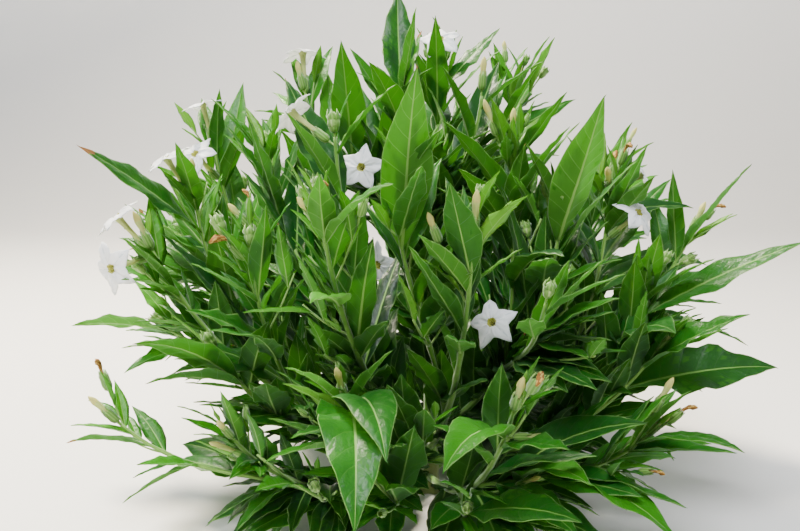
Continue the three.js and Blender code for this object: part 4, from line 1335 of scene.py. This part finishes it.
twigs = Heap()
for mass in masses:
    for twig in mass["grown"]["twigs"]:
        shares = np.linspace(0, 1, 8)
        points = np.array([twig["curve"].point(t) + twig["seat"] * (1 - t) for t in shares])
        radii = mix(*twig["radii"], shares)[:, None] * np.ones(TWIG_SIDES)
        loft(points, radii, twigs, STEM_PALE)
    for bloom in mass["grown"]["blooms"]:
        shares = np.linspace(0, 1, 4)
        reach = PEDICEL * bloom.get("size", 1) + 1
        points = bloom["root"] + np.outer(shares, bloom["along"]) * reach
        loft(points, (0.75 + 0.5 * shares)[:, None] * np.ones(TWIG_SIDES), twigs, STEM_PALE)
make_piece("twigs", twigs, stem_skins, [])

# %% [markdown]
# ## Flowers, buds, capsules and spent flowers
#
# A flower is a ribbed green calyx with five teeth, a long pale tube and a flat white star of five
# pointed lobes with a crease down each, greyed with painted shade, an olive ring at the throat and a
# well darkened with painted shade. A bud is a twisted spindle, a capsule is a striped egg in its
# calyx, and a spent flower is a brown curled rag.

# %% Build the flowers
LOBES = 5
NOTCH = 0.58
STAR_RADIUS = 25
PETAL_THICKNESS = 0.5
LOBE_POWER = 1.45
PETAL_DROOP = (1.5, 4)
CREASE_DEPTH = 1.9
WRINKLES = (0.5, 0.4, 0.9)
STAR_WAVE = 1.3
THROAT_SHARE = 0.8
ANTHER_RADII = [0.4, 0.7, 0.3]
PETAL_ROWS = np.array([0.22, 0.34, 0.46, 0.58, 0.7, 0.8, 0.9, 1])[:, None]
STAR_COLUMNS = 70
BUD_COLUMNS = 15
HUSK_COLUMNS = 20
STRIPE_EVERY = 5
# Rings of a flower's throat and of the back of its tube: how far along and how wide.
WELL_RINGS = [(FLOWER_LENGTH - deep, r) for deep, r in ((16, 1.3), (6, 2.0), (1.6, 2.9), (0.5, 4))]
BACK_RINGS = [(FLOWER_LENGTH - deep, r) for deep, r in ((3.5, 3.4), (9, 2.7), (20, 2.1))]
BACK_RINGS += [(12, 2.3), (6, 2.0)]
# Rings of a calyx: how far along, how wide and how much further in a tooth.
CALYX_RINGS = [(0, 1.5, 0), (1.5, 3.2, 0), (5, 4.1, 0), (9, 3.9, 0), (11, 3.9, 2), (13, 4.1, 5.5)]
BUD_SHARES = [0, 0.35, 0.62, 0.78, 0.9, 1]
BUD_RADII = [2.0, 1.9, 2.5, 3.1, 2.2, 0.5]
WITHERED_RADII = np.array([1.3, 1.1, 0.9, 0.9, 1.1, 1.4, 1.9, 2.2, 1.7, 0.7])
WITHERED_COLUMNS = 10
WITHERED_STEP = 2.9
BLOOM_BUILD_SEED = 90000


def lobe_share(angle):
    """One at the tip of a lobe, nought in a notch."""
    part = (angle * LOBES / (2 * np.pi)) % 1
    return 1 - np.abs(2 * part - 1)


def turned_axes(along, turn):
    side = unit(np.array([-along[1], along[0], 0.0]) + [1e-6, 0, 0])
    top = np.cross(along, side)
    return side * math.cos(turn) + top * math.sin(turn), top * math.cos(turn) - side * math.sin(turn)


def lathe(origin, along, turn, reach, radii, heap, tints):
    """A closed body of rings: reach along the axis and radius for each row and column."""
    side, top = turned_axes(along, turn)
    angle = angles(radii.shape[1])[:, None]
    ring = side * np.cos(angle) + top * np.sin(angle)
    body = origin + reach[..., None] * along + ring[None] * radii[..., None]
    close_tube(body, (body[0].mean(0), body[-1].mean(0)), heap, tints)


def seat_of_bloom(bloom, throw, least, spread):
    """Where a bloom's calyx sits, which way it points and its size."""
    along, size = bloom["along"], bloom.get("size", 1)
    return bloom["root"] + along * PEDICEL * size, along, size * thrown(throw, least, spread)


def build_calyx(root, along, turn, size, heap, spread=1.0):
    angle = angles(HUSK_COLUMNS)
    rib = 1 + 0.07 * np.cos(np.arange(HUSK_COLUMNS) * np.pi)
    tooth = lobe_share(angle) ** 1.2
    reach = np.array([z + more * tooth for z, _, more in CALYX_RINGS])
    radii = [(r * spread if more else r, more) for _, r, more in CALYX_RINGS]
    radii = np.array([r * rib * (1 - 0.3 * tooth * (more > 5)) for r, more in radii])
    inner = np.array([reach[-1] - 0.4, reach[-2] - 1, 0 * angle + 4])
    inside = np.array([radii[-1] - 0.5, radii[-2] - 0.6, 0 * angle + 1.4])
    reach, radii = np.vstack([reach, inner]) * size, np.vstack([radii, inside]) * size
    lathe(root, along, turn, reach, radii, heap, banded(2, CALYX_RIB, CALYX))


def build_open(bloom, heap, roll):
    root, along, size = seat_of_bloom(bloom, 0, 1, 0)
    turn = FULL_TURN * roll()
    angle = angles(STAR_COLUMNS)
    lobe = lobe_share(angle)
    rim = STAR_RADIUS * (NOTCH + (1 - NOTCH) * lobe**LOBE_POWER)
    rim = rim * (1 + 0.03 * np.sin(3 * angle + turn) + 0.025 * np.sin(11 * angle + 2 * turn))
    shares = PETAL_ROWS
    droop = thrown(roll(), *PETAL_DROOP)
    swell = np.sin(np.pi * shares**0.7)
    crease = CREASE_DEPTH * (0.5 - lobe) * swell
    wrinkle = WRINKLES[0] * np.sin(14 * angle + 5 * shares + turn) * swell
    wrinkle = wrinkle + WRINKLES[1] * np.sin(23 * angle - 9 * shares) * shares
    wrinkle += WRINKLES[2] * np.sin(8 * angle + 2 * turn) * shares**3
    wave = STAR_WAVE * shares * np.sin(2 * angle + turn)
    back_curl = droop * shares**3 * (0.3 + lobe) + 1.5 * roll() * (shares * lobe) ** 4
    face_reach = FLOWER_LENGTH - back_curl + crease + wave + wrinkle
    opened = np.clip((shares - shares[0]) / 0.25, 0, 1)
    face_radii = shares * mix(THROAT_SHARE * STAR_RADIUS, rim, opened)
    flat = np.ones(STAR_COLUMNS)
    reach = np.vstack([[z * flat for z, _ in WELL_RINGS], face_reach, face_reach[::-1] - PETAL_THICKNESS])
    reach = np.vstack([reach, [z * flat for z, _ in BACK_RINGS]])
    radii = np.vstack([[r * flat for _, r in WELL_RINGS], face_radii, face_radii[::-1] * 0.995])
    radii = np.vstack([radii, [r * (1 + 0.05 * np.cos(5 * angle)) for _, r in BACK_RINGS]])
    first_back = len(WELL_RINGS) + 2 * len(shares) - 1
    lobe_columns = STAR_COLUMNS // LOBES

    def tints(row, column):
        # The fold down the middle of each lobe is tinted with painted shade.
        crease_shaded = (column % lobe_columns == lobe_columns // 2) & (row % 3 != 0)
        # The deepest ring of the tube is darkened with painted shade.
        is_what = [row < 1, row < len(WELL_RINGS), row >= first_back, crease_shaded]
        return np.select(is_what, [WELL_SHADE, THROAT, TUBE, CREASE_SHADE], PETAL)

    lathe(root, along, turn, reach, radii, heap, tints)
    build_calyx(root, along, turn, size, heap)
    side, top = turned_axes(along, turn)
    for k in range(LOBES):
        a = 2 * np.pi * (k + 0.3) / LOBES
        middle = root + along * (FLOWER_LENGTH - 2.2) + (side * math.cos(a) + top * math.sin(a)) * 1.5
        anther = [middle, middle + along * 1.2, middle + along * 2.2]
        loft(anther, np.outer(ANTHER_RADII, np.ones(5)), heap, THROAT)


def build_bud(bloom, heap, roll):
    root, along, size = seat_of_bloom(bloom, roll(), 0.85, 0.25)
    angle = angles(BUD_COLUMNS)
    long = BUD_LENGTH * thrown(roll(), 0.7, 0.3)
    shares = np.linspace(0.1, 1, 12)
    radius = np.interp(shares, BUD_SHARES, BUD_RADII)
    twist = np.array([1 + 0.13 * np.cos(5 * (angle + 2.6 * max(0, s - 0.5))) * (s > 0.4) for s in shares])
    tip_from = 6 + int(3 * roll())
    reach, radii = np.outer(shares * long * size, np.ones(BUD_COLUMNS)), radius[:, None] * twist * size
    turn = FULL_TURN * roll()
    lathe(root, along, turn, reach, radii, heap, lambda row, column: np.where(row < tip_from, TUBE, BUD_TIP))
    build_calyx(root, along, FULL_TURN * roll(), size, heap)


def build_capsule(bloom, heap, roll):
    root, along, size = seat_of_bloom(bloom, roll(), 0.85, 0.2)
    shares = np.linspace(0, 1, 10)
    radius = 5.6 * np.sin(np.pi * shares.clip(0.06, 0.97) ** 0.8) ** 0.62
    groove = 1 - 0.05 * (np.arange(HUSK_COLUMNS) % STRIPE_EVERY == 0)
    reach = np.outer((2 + 16 * shares) * size, np.ones(HUSK_COLUMNS))
    radii = radius[:, None] * groove * size
    lathe(root, along, FULL_TURN * roll(), reach, radii, heap, banded(STRIPE_EVERY, STRIPE, CAPSULE))
    build_calyx(root, along, FULL_TURN * roll(), size * 1.12, heap, 1.35)


def build_withered(bloom, heap, roll):
    root, along, size = seat_of_bloom(bloom, roll(), 0.9, 0.3)
    side, _ = turned_axes(along, FULL_TURN * roll())
    pull = np.array([0, 0, -1.0]) * 0.6 + side * 0.5
    points, place, way = [], root + along * 7 * size, along.copy()
    hook = thrown(roll(), 0.3, 0.45)
    for k in range(len(WITHERED_RADII)):
        points.append(place)
        way = unit(way + pull * hook * (k > 3))
        place = place + way * WITHERED_STEP * size
    rows = np.arange(len(WITHERED_RADII))[:, None]
    crumple = 1 + 0.42 * np.sin(np.arange(WITHERED_COLUMNS) * 2.2 + rows * 1.3)
    radii = WITHERED_RADII[:, None] * crumple * size
    loft(points, radii, heap, lambda row, column: np.where((row + column) % 3, BROWN, TAN))
    build_calyx(root, along, FULL_TURN * roll(), size, heap)


def build_empty_calyx(bloom, heap, roll):
    root, along, size = seat_of_bloom(bloom, roll(), 0.7, 0.3)
    build_calyx(root, along, FULL_TURN * roll(), size, heap, 0.8)


BUILDERS = {
    "open": ("flowers", build_open),
    "bud": ("buds", build_bud),
    "calyx": ("buds", build_empty_calyx),
    "capsule": ("capsules", build_capsule),
    "withered": ("spent_flowers", build_withered),
}
kinds = {name: Heap() for name in ("flowers", "buds", "capsules", "spent_flowers")}
for mass in masses:
    roll = dice(mass["seed"] + BLOOM_BUILD_SEED)
    for bloom in mass["grown"]["blooms"]:
        kind, build = BUILDERS[bloom["stage"]]
        build(bloom, kinds[kind], roll)
for name, heap in kinds.items():
    make_piece(name, heap, flower_skins, [])

# %% [markdown]
# ## Floor, light and camera
#
# The photograph was taken from a crouch, a little above the plant and looking slightly down, in soft
# bright light that comes from behind and above. The plant stands on a pale floor in a soft studio.

# %% Floor, light and camera
SWEEP_HALF = 7
SWEEP_FRONT = -5
SWEEP_BACK = 1.9
SWEEP_BEND = 1.1
SWEEP_TOP = 4
BEND_POINTS = 25
AIMED_AT = (0, 0, 0.28)
WORLD_STRENGTH = 0.33
LENS_MM = 40.5
SENSOR_MM = 36
EYE = (-0.030, -0.93, 0.42)
EYE_TILT = 79.58
# Each soft light: its place, width, power and colour.
LIGHTS = {
    "sun": ((-0.9, 0.8, 1.9), 0.5, 175, "FFF3DC"),
    "sky": ((-0.5, -1.4, 2.4), 1.3, 122, "F6F8FF"),
    "side": ((2.0, -0.6, 1.0), 1.4, 14, "F4F8FF"),
}


def link(name, data):
    thing = bpy.data.objects.new(name, data)
    bpy.context.scene.collection.objects.link(thing)
    return thing


bend = np.linspace(0, math.pi / 2, BEND_POINTS)
line = [(SWEEP_FRONT, 0), *zip(SWEEP_BACK + SWEEP_BEND * np.sin(bend), SWEEP_BEND * (1 - np.cos(bend)))]
line.append((SWEEP_BACK + SWEEP_BEND, SWEEP_TOP))
sweep_mesh = bpy.data.meshes.new("sweep")
corners = [(side * SWEEP_HALF, y, z) for y, z in line for side in (-1, 1)]
sweep_mesh.from_pydata(corners, [], [(2 * k, 2 * k + 1, 2 * k + 3, 2 * k + 2) for k in range(len(line) - 1)])
for face in sweep_mesh.polygons:
    face.use_smooth = True
sweep = link("sweep", sweep_mesh)
material, tree = start_material("sweep paper")
place = add_node(tree, "ShaderNodeTexCoord").outputs["Object"]
height = add_node(tree, "ShaderNodeSeparateXYZ", {"Vector": place}).outputs["Z"]
shine = add_node(tree, "ShaderNodeMapRange", {"Value": height, "From Max": 1.6, "To Max": 0.75})
inputs = {"Base Color": linear("ECEAE5"), "Roughness": 0.9, "Emission Color": linear("F1F3F5")}
inputs["Emission Strength"] = shine.outputs["Result"]
finish_material(tree, add_node(tree, "ShaderNodeBsdfPrincipled", inputs).outputs[0])
sweep_mesh.materials.append(material)


def aim(thing, target):
    way = np.array(target) - np.array(thing.location)
    azimuth = math.atan2(way[1], way[0])
    rise = math.atan2(way[2], math.hypot(way[0], way[1]))
    thing.rotation_euler = (math.pi / 2 + rise, 0, azimuth - math.pi / 2)


def soft_light(name, place, size, power, colour):
    lamp = bpy.data.lights.new(name, "AREA")
    lamp.shape, lamp.size, lamp.energy = "DISK", size, power
    lamp.color = linear(colour)[:3]
    light = link(name, lamp)
    light.location = place
    aim(light, AIMED_AT)


for name, row in LIGHTS.items():
    soft_light(name, *row)
world = bpy.data.worlds.new("studio")
world.use_nodes = True
background = world.node_tree.nodes["Background"].inputs
background["Color"].default_value = linear("E6E8EA")
background["Strength"].default_value = WORLD_STRENGTH
bpy.context.scene.world = world

camera = bpy.data.cameras.new("camera")
camera.lens, camera.sensor_width = LENS_MM, SENSOR_MM
eye = link("camera", camera)
eye.location = EYE
eye.rotation_euler = (math.radians(EYE_TILT), 0, 0)
bpy.context.scene.camera = eye
